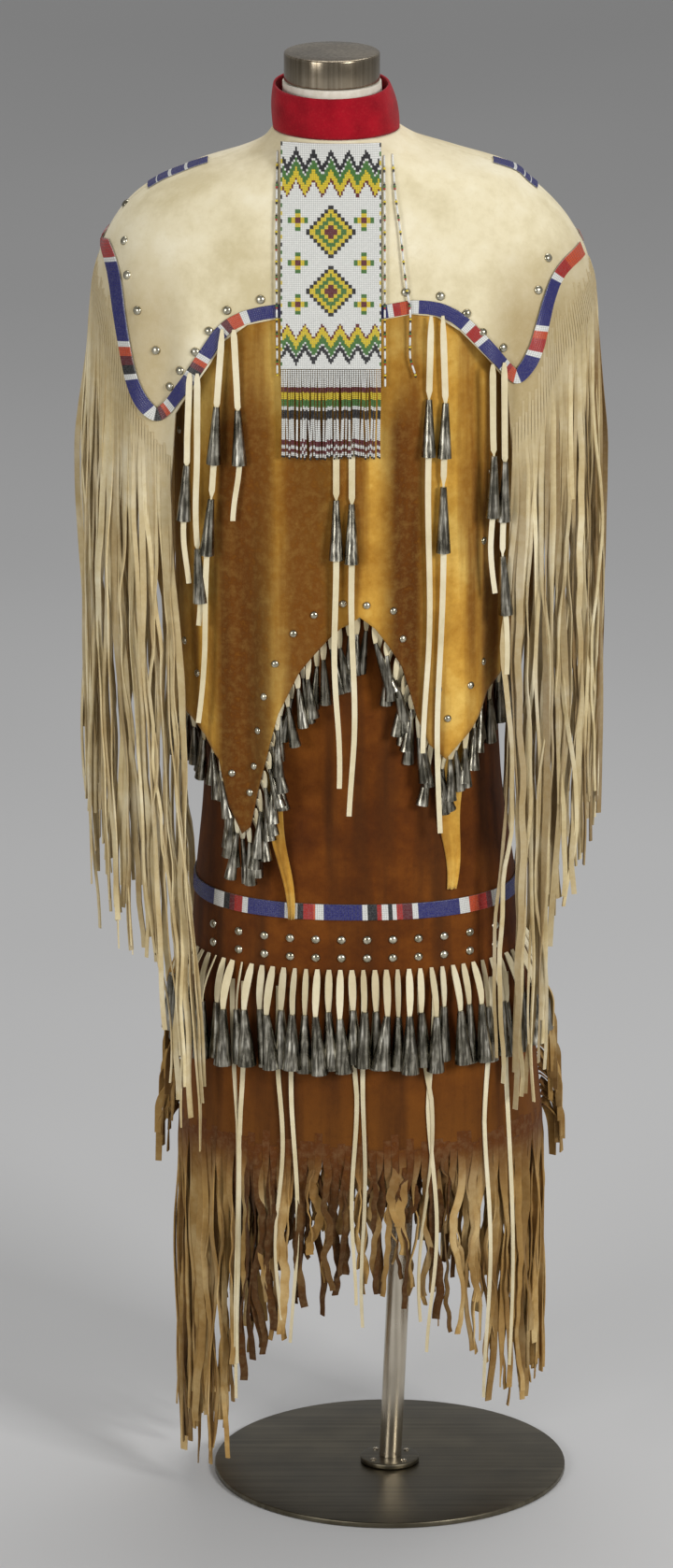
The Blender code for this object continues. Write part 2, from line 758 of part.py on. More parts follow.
def make_sleeve_fringe(name, side, facing, tips):
    """Strands cut from a sleeve's edge, from the shoulder ridge down to the sleeve's corner."""
    edges = [e for e in YOKE_EDGE if e.x < -0.230] if side < 0 else [e for e in YOKE_EDGE if e.x > 0.125]
    end = YOKE_SIDE_ENDS[0] if side < 0 else YOKE_SIDE_ENDS[1]
    heights = [e.z for e in edges]
    angles = list(angle_at(YOKE, [e.x for e in edges], heights, facing))
    ridge = math.pi / 2 if side > 0 else (-math.pi / 2 if facing > 0 else 1.5 * math.pi)
    toward = 1 if angles[0] > ridge else -1
    angles.append(ridge + toward * 0.05)
    heights.append(end)
    order = np.argsort(angles)
    angles = np.array(angles)[order]
    heights = np.array(heights)[order]
    columns, _ = panel_columns(YOKE, YOKE_EDGE, YOKE_SIDE_ENDS, facing)
    panel = on_columns(yoke_at, columns)
    behind = -HIDE - REST - 0.0016
    low_line = edge_line(panel, angles, heights + 0.001, behind)
    high_line = edge_line(panel, angles, heights + 0.001 + 2 * STRIP, behind)
    low, high, roots = strip_borders(low_line, high_line, strand_shares(SLEEVE_STRANDS, 0.66))
    strands = []
    for k, at in enumerate(roots):
        root, _, out = plan_frame(low, at)
        inner = abs(root[1]) / 0.115
        drift = np.array([-side * SLEEVE_DRIFT[side] * inner**2, -facing * 0.003 * inner, 0.0])
        tip = float(np.interp(root[0], [e.x for e in tips], [e.z for e in tips]))
        tip += rng.uniform(-0.02, 0.02)
        swing = rng.uniform(-0.001, 0.002) + 0.003 * (k % 2) + SLEEVE_SWING[side] * abs(out[0]) ** 3
        strands.append(hanging_strand(low, at, tip, swing, drift, 3))
    return comb(name, "cream_hide", low, high, roots, strands, HIDE)


def make_hem_fringe(name, facing):
    """Broad strands below the skirt's edge, long at the sides and short in the middle."""
    angles = spread_angles(facing, 60, 0.02)
    line = edge_line(skirt_at, angles, SKIRT_EDGE - SEAM - STRIP, -HIDE / 2)
    shares = strand_shares(HEM_STRANDS, 0.66)
    run = plan_run(line)
    low = np.stack([np.interp(shares.reshape(-1), run, line[:, k]) for k in range(3)], 1)
    high = low + np.array([0.0, 0.0, STRIP])
    roots = range(0, len(low), 2)
    strands = []
    for at in roots:
        root, across, _ = plan_frame(low, at)
        tip = float(np.interp(root[0], [e.x for e in HEM_TIPS], [e.z for e in HEM_TIPS]))
        tip += rng.uniform(-0.008, 0.012)
        drift = across * rng.uniform(-0.002, 0.002)
        strands.append(hanging_strand(low, at, tip, -rng.uniform(0.0, 0.006), drift, 2))
    return comb(name, "rust_hide", low, high, roots, strands, HIDE)


def make_skirt_cones(name, facing):
    """A strip on the skirt with a row of thongs that end in large tin cones."""
    angles = skirt_columns(facing)
    low_line = edge_line(skirt_panel(facing), angles, CONE_ROW, REST + 0.001)
    high_line = edge_line(skirt_panel(facing), angles, CONE_ROW + STRIP, REST + 0.001)
    low, high, roots = strip_borders(low_line, high_line, strand_shares(SKIRT_CONES, 0.22))
    flare = column(SKIRT, "half_width", CONE_ROW - 0.108) - column(SKIRT, "half_width", CONE_ROW)
    strands = []
    for k, at in enumerate(roots):
        beside = abs(plan_frame(low, at)[2][0])
        strands.append(cone_strand(low, at, LARGE_CONE, 0.0115 + 0.002 * (k % 2) + flare * beside))
    return comb(name, "tin", low, high, roots, strands, HIDE)


def make_long_thongs(name, facing):
    """Pairs of long thongs that hang from below the cone row over the skirt and its fringe."""
    half = 0.0026
    thongs = LONG_THONGS if facing > 0 else LONG_THONGS[::-1]
    panel = skirt_panel(facing)
    angles = skirt_columns(facing)
    out = REST + 0.0007
    low_line = edge_line(panel, angles, THONG_ROW - STRIP, out)
    high_line = edge_line(panel, angles, THONG_ROW, out)
    run = plan_run(low_line)
    shares = []
    for thong in thongs:
        sides = np.array([thong.x - facing * half, thong.x + facing * half])
        shares.append(np.interp(angle_at(SKIRT, sides, THONG_ROW, facing), angles, run))
    low, high, roots = strip_borders(low_line, high_line, np.array(shares))
    strands = []
    for thong, at in zip(thongs, roots, strict=True):
        root, across, outward = plan_frame(low, at)
        clear = out + 0.0006 + 0.0038 * outward[0] ** 2
        stations = []
        reach = 0.0
        for z in (SKIRT_ROWS[-2], SKIRT_EDGE, thong.z):
            angle = angle_at(SKIRT, root[0], max(z, SKIRT_EDGE), facing)
            place = moved(panel, angle, max(z, SKIRT_EDGE), clear)
            reach = max(reach, abs(place[1]))
            centre = np.array([root[0], -facing * reach, z])
            stations.append(Station(centre, across * half * 0.9, 0.0014))
        strands.append(stations)
    return comb(name, "cream_hide", low, high, roots, strands, 0.0014)


def make_bodice_cones(name, facing):
    """A strip behind the bodice's lower edge, with a row of thongs that end in small tin cones."""
    angles, lows = panel_columns(BODICE, BODICE_EDGE, BODICE_SIDE_ENDS, facing)
    panel = on_columns(bodice_at, angles.copy())
    angles[0] += 0.05
    angles[-1] -= 0.05
    behind = -HIDE - REST - 0.0014
    low_line = edge_line(panel, angles, lows + 0.002, behind)
    high_line = edge_line(panel, angles, lows + 0.002 + 1.4 * STRIP, behind)
    low, high, roots = strip_borders(low_line, high_line, strand_shares(BODICE_CONES, 0.30))
    strands = [cone_strand(low, at, SMALL_CONE, -0.0065) for at in roots]
    return comb(name, "tin", low, high, roots, strands, HIDE)


def make_bib_fringe():
    shares = strand_shares(BIB_STRANDS, 0.66).reshape(-1)
    x = BIB_LEFT + 0.002 + (BIB_RIGHT - BIB_LEFT - 0.004) * shares
    z = np.full(len(x), BIB_BOTTOM - SEAM)
    out = BIB_WALL / 2 + BIB_LIFT
    high = bib_point(x, z, out)
    low = high - np.array([0.0, 0.0, STRIP])
    roots = range(0, len(low), 2)
    strands = []
    for at in roots:
        root, across, out_way = plan_frame(low, at)
        stations = []
        for share in (0.5, 1.0):
            drop = (root[2] - BIB_FRINGE_END) * share
            centre = root - np.array([0.0, 0.0, drop]) + out_way * 0.004 * share
            stations.append(Station(centre, across * 0.0027, 0.0022))
        strands.append(stations)
    return comb("bib_fringe", "white_beadwork", low, high, roots, strands, 0.0022)


def make_side_fringe(name, side):
    """Short tabs cut on the side seam of the skirt, standing out and hanging down side by side on one slant."""
    heights = np.linspace(0.592, 0.412, 2 * SIDE_STRANDS)
    angle = side * math.pi / 2
    edge = skirt_at(np.full(len(heights), angle), heights)
    edge[:, 1] = 0.0
    outward = np.array([side, 0.0, 0.0])
    inner = edge + outward * REST
    outer = edge + outward * (REST + STRIP)
    down = np.array([0.0, 0.0, -1.0])
    slant = down * 0.907 + outward * 0.421
    aside = down * 0.421 - outward * 0.907
    neck, half_width = 0.016, 0.004
    strands = []
    for k in range(SIDE_STRANDS):
        root = (outer[2 * k] + outer[2 * k + 1]) / 2
        long = 0.030 + 0.008 * (k % 3)
        strands.append([
            Station(root + slant * neck, aside * half_width, STRAND_DEPTH),
            Station(root + slant * (neck + long), aside * half_width, STRAND_DEPTH),
        ])
    return comb(name, "rust_hide", outer, inner, range(0, len(outer), 2), strands, STRAND_DEPTH)


def drop_reach(x, z, clear):
    """How far forward of the body's plane a thing of this depth hangs over the bodice at x and z."""
    z = max(z, float(np.interp(x, [e.x for e in BODICE_EDGE], [e.z for e in BODICE_EDGE])))
    angle = angle_at(BODICE, x, z, 1)
    return -float(moved(bodice_at, angle, z, clear)[1])


def make_drop(name, x, top, thongs, out):
    """A pair of thongs tied at the front, each with tin cones on its way down.

    A thong's rows give the height, the half-width and the depth of each place along it.
    """
    half = 0.0024
    sides = np.array([x - 0.0085, x - 0.0085 + 2 * half, x + 0.0085 - 2 * half, x + 0.0085])
    heights = np.full(4, top)
    low = moved(yoke_at, angle_at(YOKE, sides, heights, 1), heights, out)
    high = low + np.array([0.0, 0.0, STRIP])
    strands = []
    for at, rows in zip((0, 2), thongs, strict=True):
        root, across, _ = plan_frame(low, at)
        reach = -root[1]
        stations = []
        for slip, z, half_width, depth in rows:
            reach = max(reach, drop_reach(root[0] + slip, z, depth / 2 + 0.0015))
            centre = np.array([root[0] + slip, -reach, z])
            stations.append(Station(centre, across * half_width, depth))
        strands.append(stations)
    return comb(name, "cream_hide", low, high, (0, 2), strands, 0.0018)


def coned_thong(x_slip, cones, tip):
    """Rows of a thong: plain stretches 4 mm wide, and cones that widen to their mouths."""
    rows = []
    for slip, top, bottom, mouth in cones:
        rows.append((slip, top, 0.0020, 0.0020))
        rows.append((slip, top - 0.002, mouth * 0.22, mouth * 0.44))
        rows.append((slip, bottom, mouth * 0.5, mouth))
        rows.append((slip, bottom - 0.001, 0.0022, 0.0020))
    rows.append((x_slip, tip, 0.0018, 0.0016))
    return rows


def make_drops():
    out = REST + BEADWORK + REST + 0.0025
    make_drop("drop_left_outer", -0.206, 1.252, [
        coned_thong(-0.006, [(-0.005, 1.155, 1.098, 0.011)], 1.010),
        coned_thong(-0.001, [(-0.001, 1.140, 1.083, 0.010)], 0.985),
    ], out)
    make_drop("drop_left_pair", -0.170, 1.300, [
        coned_thong(-0.028, [(-0.006, 1.205, 1.148, 0.011), (-0.011, 1.122, 1.062, 0.010)], 0.880),
        coned_thong(0.002, [(0.004, 1.218, 1.160, 0.011)], 1.100),
    ], out)
    make_drop("drop_right_pair", 0.046, 1.315, [
        coned_thong(-0.004, [(-0.002, 1.230, 1.170, 0.012)], 0.850),
        coned_thong(-0.002, [(0.003, 1.226, 1.168, 0.011), (0.001, 1.137, 1.067, 0.013)], 0.762),
    ], out)
    make_drop("drop_right_outer", 0.110, 1.262, [
        coned_thong(0.003, [(0.001, 1.168, 1.102, 0.011)], 1.020),
        coned_thong(0.001, [(0.001, 1.160, 1.096, 0.011), (0.001, 1.058, 0.995, 0.011)], 0.930),
    ], out + 0.0015)


def make_centre_drop():
    """A pair of thongs tied through the bodice behind the bib's fringe."""
    x = -0.050
    top = 1.185
    half = 0.0024
    sides = np.array([x - 0.0105, x - 0.0105 + 2 * half, x + 0.0105 - 2 * half, x + 0.0105])
    heights = np.full(4, top)
    low = moved(bodice_at, angle_at(BODICE, sides, heights, 1), heights, REST + 0.001)
    high = low + np.array([0.0, 0.0, STRIP])
    strands = []
    tips = (0.815, 0.785)
    for k, tip in enumerate(tips):
        root, across, _ = plan_frame(low, 2 * k)
        rows = coned_thong(0.0, [(0.0, 1.125 - 0.004 * k, 1.062 - 0.004 * k, 0.013)], tip)
        reach = -root[1]
        stations = []
        for slip, z, half_width, depth in rows:
            reach = max(reach, drop_reach(root[0], z, depth / 2 + 0.0015))
            stations.append(Station(np.array([root[0] + slip, -reach, z]), across * half_width, depth))
        strands.append(stations)
    return comb("drop_centre", "cream_hide", low, high, (0, 2), strands, 0.0018)


def make_tab(name, top_x, top_z, tip_x, tip_z, width):
    """A narrow leg of hide, sewn inside a point of the bodice and hanging below it, behind the cones."""
    columns, _ = panel_columns(BODICE, BODICE_EDGE, BODICE_SIDE_ENDS, 1)
    panel = on_columns(bodice_at, columns)
    rows = []
    for drop, behind in ((0.0, 0.0008), (0.013, 0.0070), (0.055, 0.0178), (0.12, 0.0178), (1.0, 0.0178)):
        z = max(top_z - drop, tip_z)
        share = (top_z - z) / (top_z - tip_z)
        middle = top_x + (tip_x - top_x) * share
        half = width * (0.5 - 0.32 * max(0.0, share - 0.5) * 2)
        x = middle + half * np.array([-1.0, -0.5, 0.0, 0.5, 1.0])
        above = np.full(len(x), max(z, 0.80))
        angle = angle_at(BODICE, x, above, 1)
        place = moved(panel, angle, above, -HIDE - REST - behind)
        place[:, 0] = x
        place[:, 2] = z
        rows.append(place)
    return sheet(name, "golden_hide", np.stack(rows), 0.0015)


def make_form():
    """The dress form: one smooth closed torso with a neck, from the rings' outer points."""
    heights = np.array([
        FORM_TOP, 1.4950, 1.4835, 1.4728, 1.4578, 1.4430, 1.4200, 1.3800,
        1.2700, 1.1800, 1.0900, 1.0000, 0.9000, 0.8000, FORM_BOTTOM,
    ])
    columns = 20
    angles = np.linspace(0, 2 * math.pi, columns, endpoint=False)
    grid = form_at(angles[None, :], heights[:, None])
    faces = loft_faces(len(heights), columns, closed=True)
    faces.append(tuple(range(columns)))
    last = (len(heights) - 1) * columns
    faces.append(tuple(last + j for j in reversed(range(columns))))
    mesh = mesh_from_points("dress_form", grid.reshape(-1, 3), faces)
    return add_object("dress_form", mesh, "form_cover")


def disc(name, radius, bottom, height, bevel, segments, centre_x=0.0):
    """A round plate with softly bevelled rims."""
    mesh = bpy.data.meshes.new(name)
    body = bmesh.new()
    bmesh.ops.create_cone(
        body, cap_ends=True, segments=segments, radius1=radius, radius2=radius, depth=height
    )
    bmesh.ops.translate(body, verts=body.verts, vec=(centre_x, 0.0, bottom + height / 2))
    body.to_mesh(mesh)
    body.free()
    mesh.shade_smooth()
    mesh.set_sharp_from_angle(angle=math.radians(40))
    piece = add_object(name, mesh, "brushed_steel")
    rim = piece.modifiers.new("rim", "BEVEL")
    rim.width = bevel
    rim.segments = 1
    rim.limit_method = "ANGLE"
    return piece


def make_pole():
    """A round pole that leans a little toward +X and meets plate and form with level ends."""
    bottom = PLATE_HEIGHT + FLANGE_HEIGHT + 2 * SEAM
    top = FORM_BOTTOM - SEAM
    mesh = bpy.data.meshes.new("stand_pole")
    body = bmesh.new()
    bmesh.ops.create_cone(
        body, cap_ends=True, segments=20, radius1=POLE_RADIUS, radius2=POLE_RADIUS, depth=top - bottom
    )
    bmesh.ops.translate(body, verts=body.verts, vec=(0.0, 0.0, (top + bottom) / 2))
    for vertex in body.verts:
        vertex.co.x += POLE_LEAN * vertex.co.z
    body.to_mesh(mesh)
    body.free()
    mesh.shade_smooth()
    mesh.set_sharp_from_angle(angle=math.radians(40))
    return add_object("stand_pole", mesh, "brushed_steel")


clear_scene()
dress = collection_for_dress()

disc("base_plate", PLATE_RADIUS, 0.0, PLATE_HEIGHT, 0.001, 40)
disc("base_flange", FLANGE_RADIUS, PLATE_HEIGHT + SEAM, FLANGE_HEIGHT, 0.0015, 28)
make_pole()
make_form()
disc("neck_cap", CAP_RADIUS, FORM_TOP + SEAM, CAP_HEIGHT, 0.0015, 28, CAP_CENTRE)

make_collar()
for label, facing in (("front", 1), ("back", -1)):
    make_yoke("yoke_" + label, facing)
    make_yoke_band("yoke_band_" + label, facing)
    make_bodice("bodice_" + label, facing)
    make_bodice_cones("bodice_cones_" + label, facing)
    make_skirt("skirt_" + label, facing)
    make_skirt_band("skirt_band_" + label, facing)
    make_skirt_cones("skirt_cones_" + label, facing)
    make_long_thongs("long_thongs_" + label, facing)
    make_hem_fringe("hem_fringe_" + label, facing)
    make_sleeve_fringe("sleeve_fringe_left_" + label, -1, facing, LEFT_SLEEVE_TIPS)
    make_sleeve_fringe("sleeve_fringe_right_" + label, 1, facing, RIGHT_SLEEVE_TIPS)
for label, side in (("left", -1), ("right", 1)):
    make_shoulder_band("shoulder_band_" + label, side)
    make_side_fringe("side_fringe_" + label, side)
make_bib()
make_bib_fringe()
make_drops()
make_centre_drop()
make_tab("bodice_tab_left", -0.133, 0.888, -0.107, 0.664, 0.016)
make_tab("bodice_tab_right", 0.062, 0.905, 0.062, 0.692, 0.028)
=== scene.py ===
"""A fringed buckskin dress with bead bands and tin cones, on a limbless dress form with a steel stand.

Metres, +Z up, the front of the dress toward -Y. Angles run round the body from the front (0) to +X (90).
"""

import math
from collections import namedtuple

import bpy
import numpy as np
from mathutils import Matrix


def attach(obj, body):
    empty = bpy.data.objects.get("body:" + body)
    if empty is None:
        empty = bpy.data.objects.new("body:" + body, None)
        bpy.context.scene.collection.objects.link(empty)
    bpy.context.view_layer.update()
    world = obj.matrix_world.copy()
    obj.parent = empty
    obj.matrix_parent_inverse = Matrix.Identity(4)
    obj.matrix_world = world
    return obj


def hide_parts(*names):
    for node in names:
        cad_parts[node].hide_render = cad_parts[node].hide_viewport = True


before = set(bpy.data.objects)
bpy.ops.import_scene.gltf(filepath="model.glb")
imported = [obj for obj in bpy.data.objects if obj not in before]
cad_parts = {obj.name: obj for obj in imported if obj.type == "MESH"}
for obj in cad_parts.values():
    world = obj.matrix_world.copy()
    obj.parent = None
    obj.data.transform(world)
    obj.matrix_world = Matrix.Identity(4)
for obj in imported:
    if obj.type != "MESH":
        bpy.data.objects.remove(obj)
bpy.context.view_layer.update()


# ---------------------------------------------------------------- camera, floor and light
# A plain studio: a pale grey floor that runs back out of sight, a bright soft lamp high on the right, a wider and
# weaker one on the left, and the widest above and behind. A far camera looks down through a long lens.
SENSOR, FOCAL_PIXELS, PICTURE_HEIGHT, CAMERA_TILT = 36, 10294, 1678, 16.755
FLOOR_SIDE, FLOOR_NEAR, FLOOR_FAR, FLOOR_Z = 30, -14, 40, -0.0004
LAMP_AIM = np.array([-0.05, 0.0, 0.85])
camera = bpy.data.objects.new("camera", bpy.data.cameras.new("camera"))
camera.location = (-0.0578, -9.79, 3.72)
camera.rotation_euler = (math.radians(90 - CAMERA_TILT), 0.0, 0.0)
camera.data.lens = SENSOR * FOCAL_PIXELS / PICTURE_HEIGHT
camera.data.sensor_width = SENSOR
bpy.context.scene.collection.objects.link(camera)
bpy.context.scene.camera = camera
bpy.context.scene.view_settings.view_transform = "Standard"


def paint(red, green, blue):
    """Linear light from a colour given in 0 to 255 steps of the usual screen curve."""
    share = np.array([red, green, blue]) / 255
    linear = np.where(share <= 0.04045, share / 12.92, ((share + 0.055) / 1.055) ** 2.4)
    return (*[float(v) for v in linear], 1.0)


Making = namedtuple("Making", "material node noise mix ramp bump fit")


def new_material(name, roughness, metallic=0.0, sheen=0.0, coat=0.0, specular=0.5):
    """A Principled material, with short ways to add nodes whose sockets take values or links."""
    material = bpy.data.materials.new(name)
    material.use_nodes = True
    tree = material.node_tree
    shader = tree.nodes["Principled BSDF"]
    looks = {"Roughness": roughness, "Metallic": metallic, "Sheen Weight": sheen, "Coat Weight": coat}
    for socket, value in (looks | {"Specular IOR Level": specular}).items():
        shader.inputs[socket].default_value = value

    def node(kind, sockets=None, **facts):
        """A node of this kind, its sockets given values or linked to other nodes' sockets."""
        made = tree.nodes.new(kind)
        for key, value in facts.items():
            setattr(made, key, value)
        for key, value in (sockets or {}).items():
            if isinstance(value, bpy.types.NodeSocket):
                tree.links.new(value, made.inputs[key])
            else:
                made.inputs[key].default_value = value
        return made

    place = node("ShaderNodeTexCoord").outputs["Object"]

    def noise(scale, detail=2.0, roughness=0.5):
        """Noise over the object's own metres. Of three scales, the smaller ones draw it out their way."""
        if np.ndim(scale):
            where, scale = node("ShaderNodeMapping", {"Vector": place, "Scale": scale}).outputs["Vector"], 1.0
        else:
            where = place
        sockets = {"Vector": where, "Scale": scale, "Detail": detail, "Roughness": roughness}
        return node("ShaderNodeTexNoise", sockets).outputs["Fac"]

    def mix(share, first, second):
        """A colour this share of the way from the first to the second."""
        return node("ShaderNodeMix", {0: share, 6: first, 7: second}, data_type="RGBA").outputs[2]

    def ramp(value, *stops):
        """A colour by value, even between stops of (value, colour)."""
        made = node("ShaderNodeValToRGB", {"Fac": value})
        while len(made.color_ramp.elements) < len(stops):
            made.color_ramp.elements.new(0.5)
        for element, (place, colour) in zip(made.color_ramp.elements, stops):
            element.position = place
            element.color = colour
        return made.outputs["Color"]

    def bump(height, depth, over=None):
        """A normal tilted by a height this many metres deep, laid over another bump."""
        made = node("ShaderNodeBump", {"Height": height, "Strength": 1.0, "Distance": depth})
        if over is not None:
            tree.links.new(over, made.inputs["Normal"])
        return made.outputs["Normal"]

    def fit(**sockets):
        """Links sockets of the shader, with _ for a space in their names."""
        for key, value in sockets.items():
            tree.links.new(value, shader.inputs[key.replace("_", " ")])

    return Making(material, node, noise, mix, ramp, bump, fit)


def grey(level):
    """An even grey of this linear level."""
    return (level, level, level, 1.0)


floor_corners = [(x, y, FLOOR_Z) for y in (FLOOR_NEAR, FLOOR_FAR) for x in (-FLOOR_SIDE, FLOOR_SIDE)]
floor_mesh = bpy.data.meshes.new("floor")
floor_mesh.from_pydata(floor_corners, [], [(0, 1, 3, 2)])
floor = bpy.data.objects.new("floor", floor_mesh)
bpy.context.scene.collection.objects.link(floor)
ground = new_material("studio_floor", 0.75)
ground.fit(Base_Color=ground.ramp(ground.noise(0.6), (0.3, grey(0.56)), (0.7, grey(0.61))))
floor_mesh.materials.append(ground.material)

Lamp = namedtuple("Lamp", "name place size power")
LAMPS = [
    Lamp("key", (3.6, -4.2, 3.2), 1.6, 192),
    Lamp("fill", (-3.8, -4.8, 2.4), 2.2, 120),
    Lamp("above", (0.3, 1.5, 4.6), 2.5, 70),
]
for lamp in LAMPS:
    light = bpy.data.objects.new(lamp.name, bpy.data.lights.new(lamp.name, "AREA"))
    light.data.size = lamp.size
    light.data.energy = lamp.power
    light.location = lamp.place
    aim = LAMP_AIM - np.array(lamp.place)
    light.rotation_euler = (math.acos(-aim[2] / np.linalg.norm(aim)), 0.0, math.atan2(aim[0], -aim[1]) + math.pi)
    bpy.context.scene.collection.objects.link(light)
world = bpy.data.worlds.new("studio")
world.use_nodes = True
world.node_tree.nodes["Background"].inputs["Color"].default_value = grey(0.75)
world.node_tree.nodes["Background"].inputs["Strength"].default_value = 0.38
bpy.context.scene.world = world


# ---------------------------------------------------------------- steel stand
# A round base plate of brushed steel with a soft rim, a screwed flange, a straight tube that leans a little,
# and a neck cap with a satin top. Each is turned, so each is an outline carried round a standing axis.
PLATE_RADIUS, PLATE_HEIGHT, PLATE_RIM = 0.190, 0.006, 0.0014
FLANGE_RADIUS, FLANGE_HEIGHT, FLANGE_RIM = 0.0318, 0.006, 0.0016
POLE_RADIUS, POLE_LEAN, POLE_TOP = 0.0121, 0.043, 0.7797
CAP_CENTRE, CAP_RADIUS, CAP_BOTTOM, CAP_TOP, CAP_RIM = -0.0626, 0.0500, 1.5370, 1.5677, 0.0022
SCREW_CIRCLE, SCREW_RADIUS = 0.0235, 0.0032
SEAM_GAP = 0.0003


def mesh_piece(name, points, faces, material, smooth=40.0):
    """An object from points and arrays of faces, each array holding faces of one corner count."""
    mesh = bpy.data.meshes.new(name)
    points = np.asarray(points, np.float32).reshape(-1, 3)
    corners = np.concatenate([np.asarray(f).reshape(-1) for f in faces]).astype(np.int32)
    counts = np.concatenate([np.full(len(f), np.shape(f)[1]) for f in faces])
    mesh.vertices.add(len(points))
    mesh.vertices.foreach_set("co", points.reshape(-1))
    mesh.loops.add(len(corners))
    mesh.loops.foreach_set("vertex_index", corners)
    mesh.polygons.add(len(counts))
    mesh.polygons.foreach_set("loop_start", (np.cumsum(counts) - counts).astype(np.int32))
    mesh.update(calc_edges=True)
    mesh.shade_smooth()
    if smooth:
        mesh.set_sharp_from_angle(angle=math.radians(smooth))
    mesh.materials.append(material)
    piece = bpy.data.objects.new(name, mesh)
    bpy.context.scene.collection.objects.link(piece)
    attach(piece, "root")
    return piece


def tubes(name, rings, material, smooth=40.0):
    """Closed tubes. rings[n, m, k] holds n tubes of m rings of k points; rings join on, and both ends are capped."""
    n, m, k = rings.shape[:3]
    index = np.arange(n * m * k).reshape(n, m, k)
    beside = np.roll(index, -1, 2)
    quads = np.stack([index[:, :-1], beside[:, :-1], beside[:, 1:], index[:, 1:]], -1).reshape(-1, 4)
    caps = np.concatenate([index[:, 0, ::-1], index[:, -1]])
    return mesh_piece(name, rings, [quads, caps], material, smooth)


def turned(outline, centre_x=0.0, centre_y=0.0, lean=0.0, segments=96):
    """Rings of a turned solid: x = centre + r cos a + lean z, y = r sin a, for the outline's rows (r, z)."""
    radius, height = np.array(outline, float).T[:, :, None]
    angle = np.linspace(0, 2 * math.pi, segments, endpoint=False)[None, :]
    x = centre_x + radius * np.cos(angle) + lean * height
    y = centre_y + radius * np.sin(angle)
    return np.stack([x, y, height + 0 * angle], -1)[None]


def plate_outline(radius, bottom, top, rim):
    """A plate's outline: up its side, with both corners rounded by quarter circles, and level ends."""
    turn = np.linspace(0, math.pi / 2, 5)
    low = [(radius - rim + rim * math.sin(a), bottom + rim - rim * math.cos(a)) for a in turn]
    high = [(radius - rim + rim * math.cos(a), top - rim + rim * math.sin(a)) for a in turn]
    return [(0.3 * radius, bottom), *low, *high, (0.6 * radius, top), (0.3 * radius, top)]


def steel(name, dark, light, across, scratch, satin=0.24):
    """Brushed steel: streaks are noise squeezed along the brushing, over broad dull clouds and a few stains."""
    make = new_material(name, satin, metallic=1.0)
    streak = make.noise(across, 4.0)
    cloud = make.noise(14.0, 6.0)
    brushed = make.ramp(streak, (0.35, dark), (0.65, light))
    worn = make.node("ShaderNodeMath", {0: cloud, 1: 0.22}, operation="MULTIPLY").outputs[0]
    make.fit(
        Base_Color=make.mix(0.45, brushed, make.ramp(cloud, (0.35, dark), (0.62, light))),
        Roughness=make.node("ShaderNodeMath", {0: worn, 1: satin}, operation="ADD").outputs[0],
        Normal=make.bump(streak, scratch),
    )
    return make.material


plate_steel = steel("brushed_plate", paint(84, 78, 64), paint(122, 115, 98), (3, 150, 3), 0.00005)
pole_steel = steel("brushed_tube", paint(176, 166, 148), paint(226, 216, 198), (240, 240, 4), 0.00003, satin=0.14)
cap_steel = steel("satin_cap", paint(118, 106, 88), paint(176, 164, 144), (260, 260, 5), 0.00003, satin=0.12)

plate = tubes("stand_plate", turned(plate_outline(PLATE_RADIUS, 0.0, PLATE_HEIGHT, PLATE_RIM)), plate_steel)
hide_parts("base_plate")
flange_bottom = PLATE_HEIGHT + SEAM_GAP
flange_top = flange_bottom + FLANGE_HEIGHT
flange_outline = plate_outline(FLANGE_RADIUS, flange_bottom, flange_top, FLANGE_RIM)
flange = tubes("stand_flange", turned(flange_outline), plate_steel)
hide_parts("base_flange")
screw_rings = np.concatenate([
    turned(
        [(SCREW_RADIUS, flange_top - 0.001), (SCREW_RADIUS, flange_top + 0.0006), (0.0024, flange_top + 0.0013),
         (0.0011, flange_top + 0.0014), (0.0009, flange_top + 0.0007)],
        SCREW_CIRCLE * math.cos(a), SCREW_CIRCLE * math.sin(a), segments=20,
    )
    for a in np.radians([40, 130, 220, 310])
])
screws = tubes("flange_screws", screw_rings, pole_steel)
pole_rows = [(POLE_RADIUS, z) for z in np.linspace(flange_top + SEAM_GAP, POLE_TOP, 9)]
pole = tubes("stand_tube", turned(pole_rows, lean=POLE_LEAN, segments=48), pole_steel)
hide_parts("stand_pole")
cap = tubes("cap_on_neck", turned(plate_outline(CAP_RADIUS, CAP_BOTTOM, CAP_TOP, CAP_RIM), CAP_CENTRE), cap_steel)
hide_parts("neck_cap")


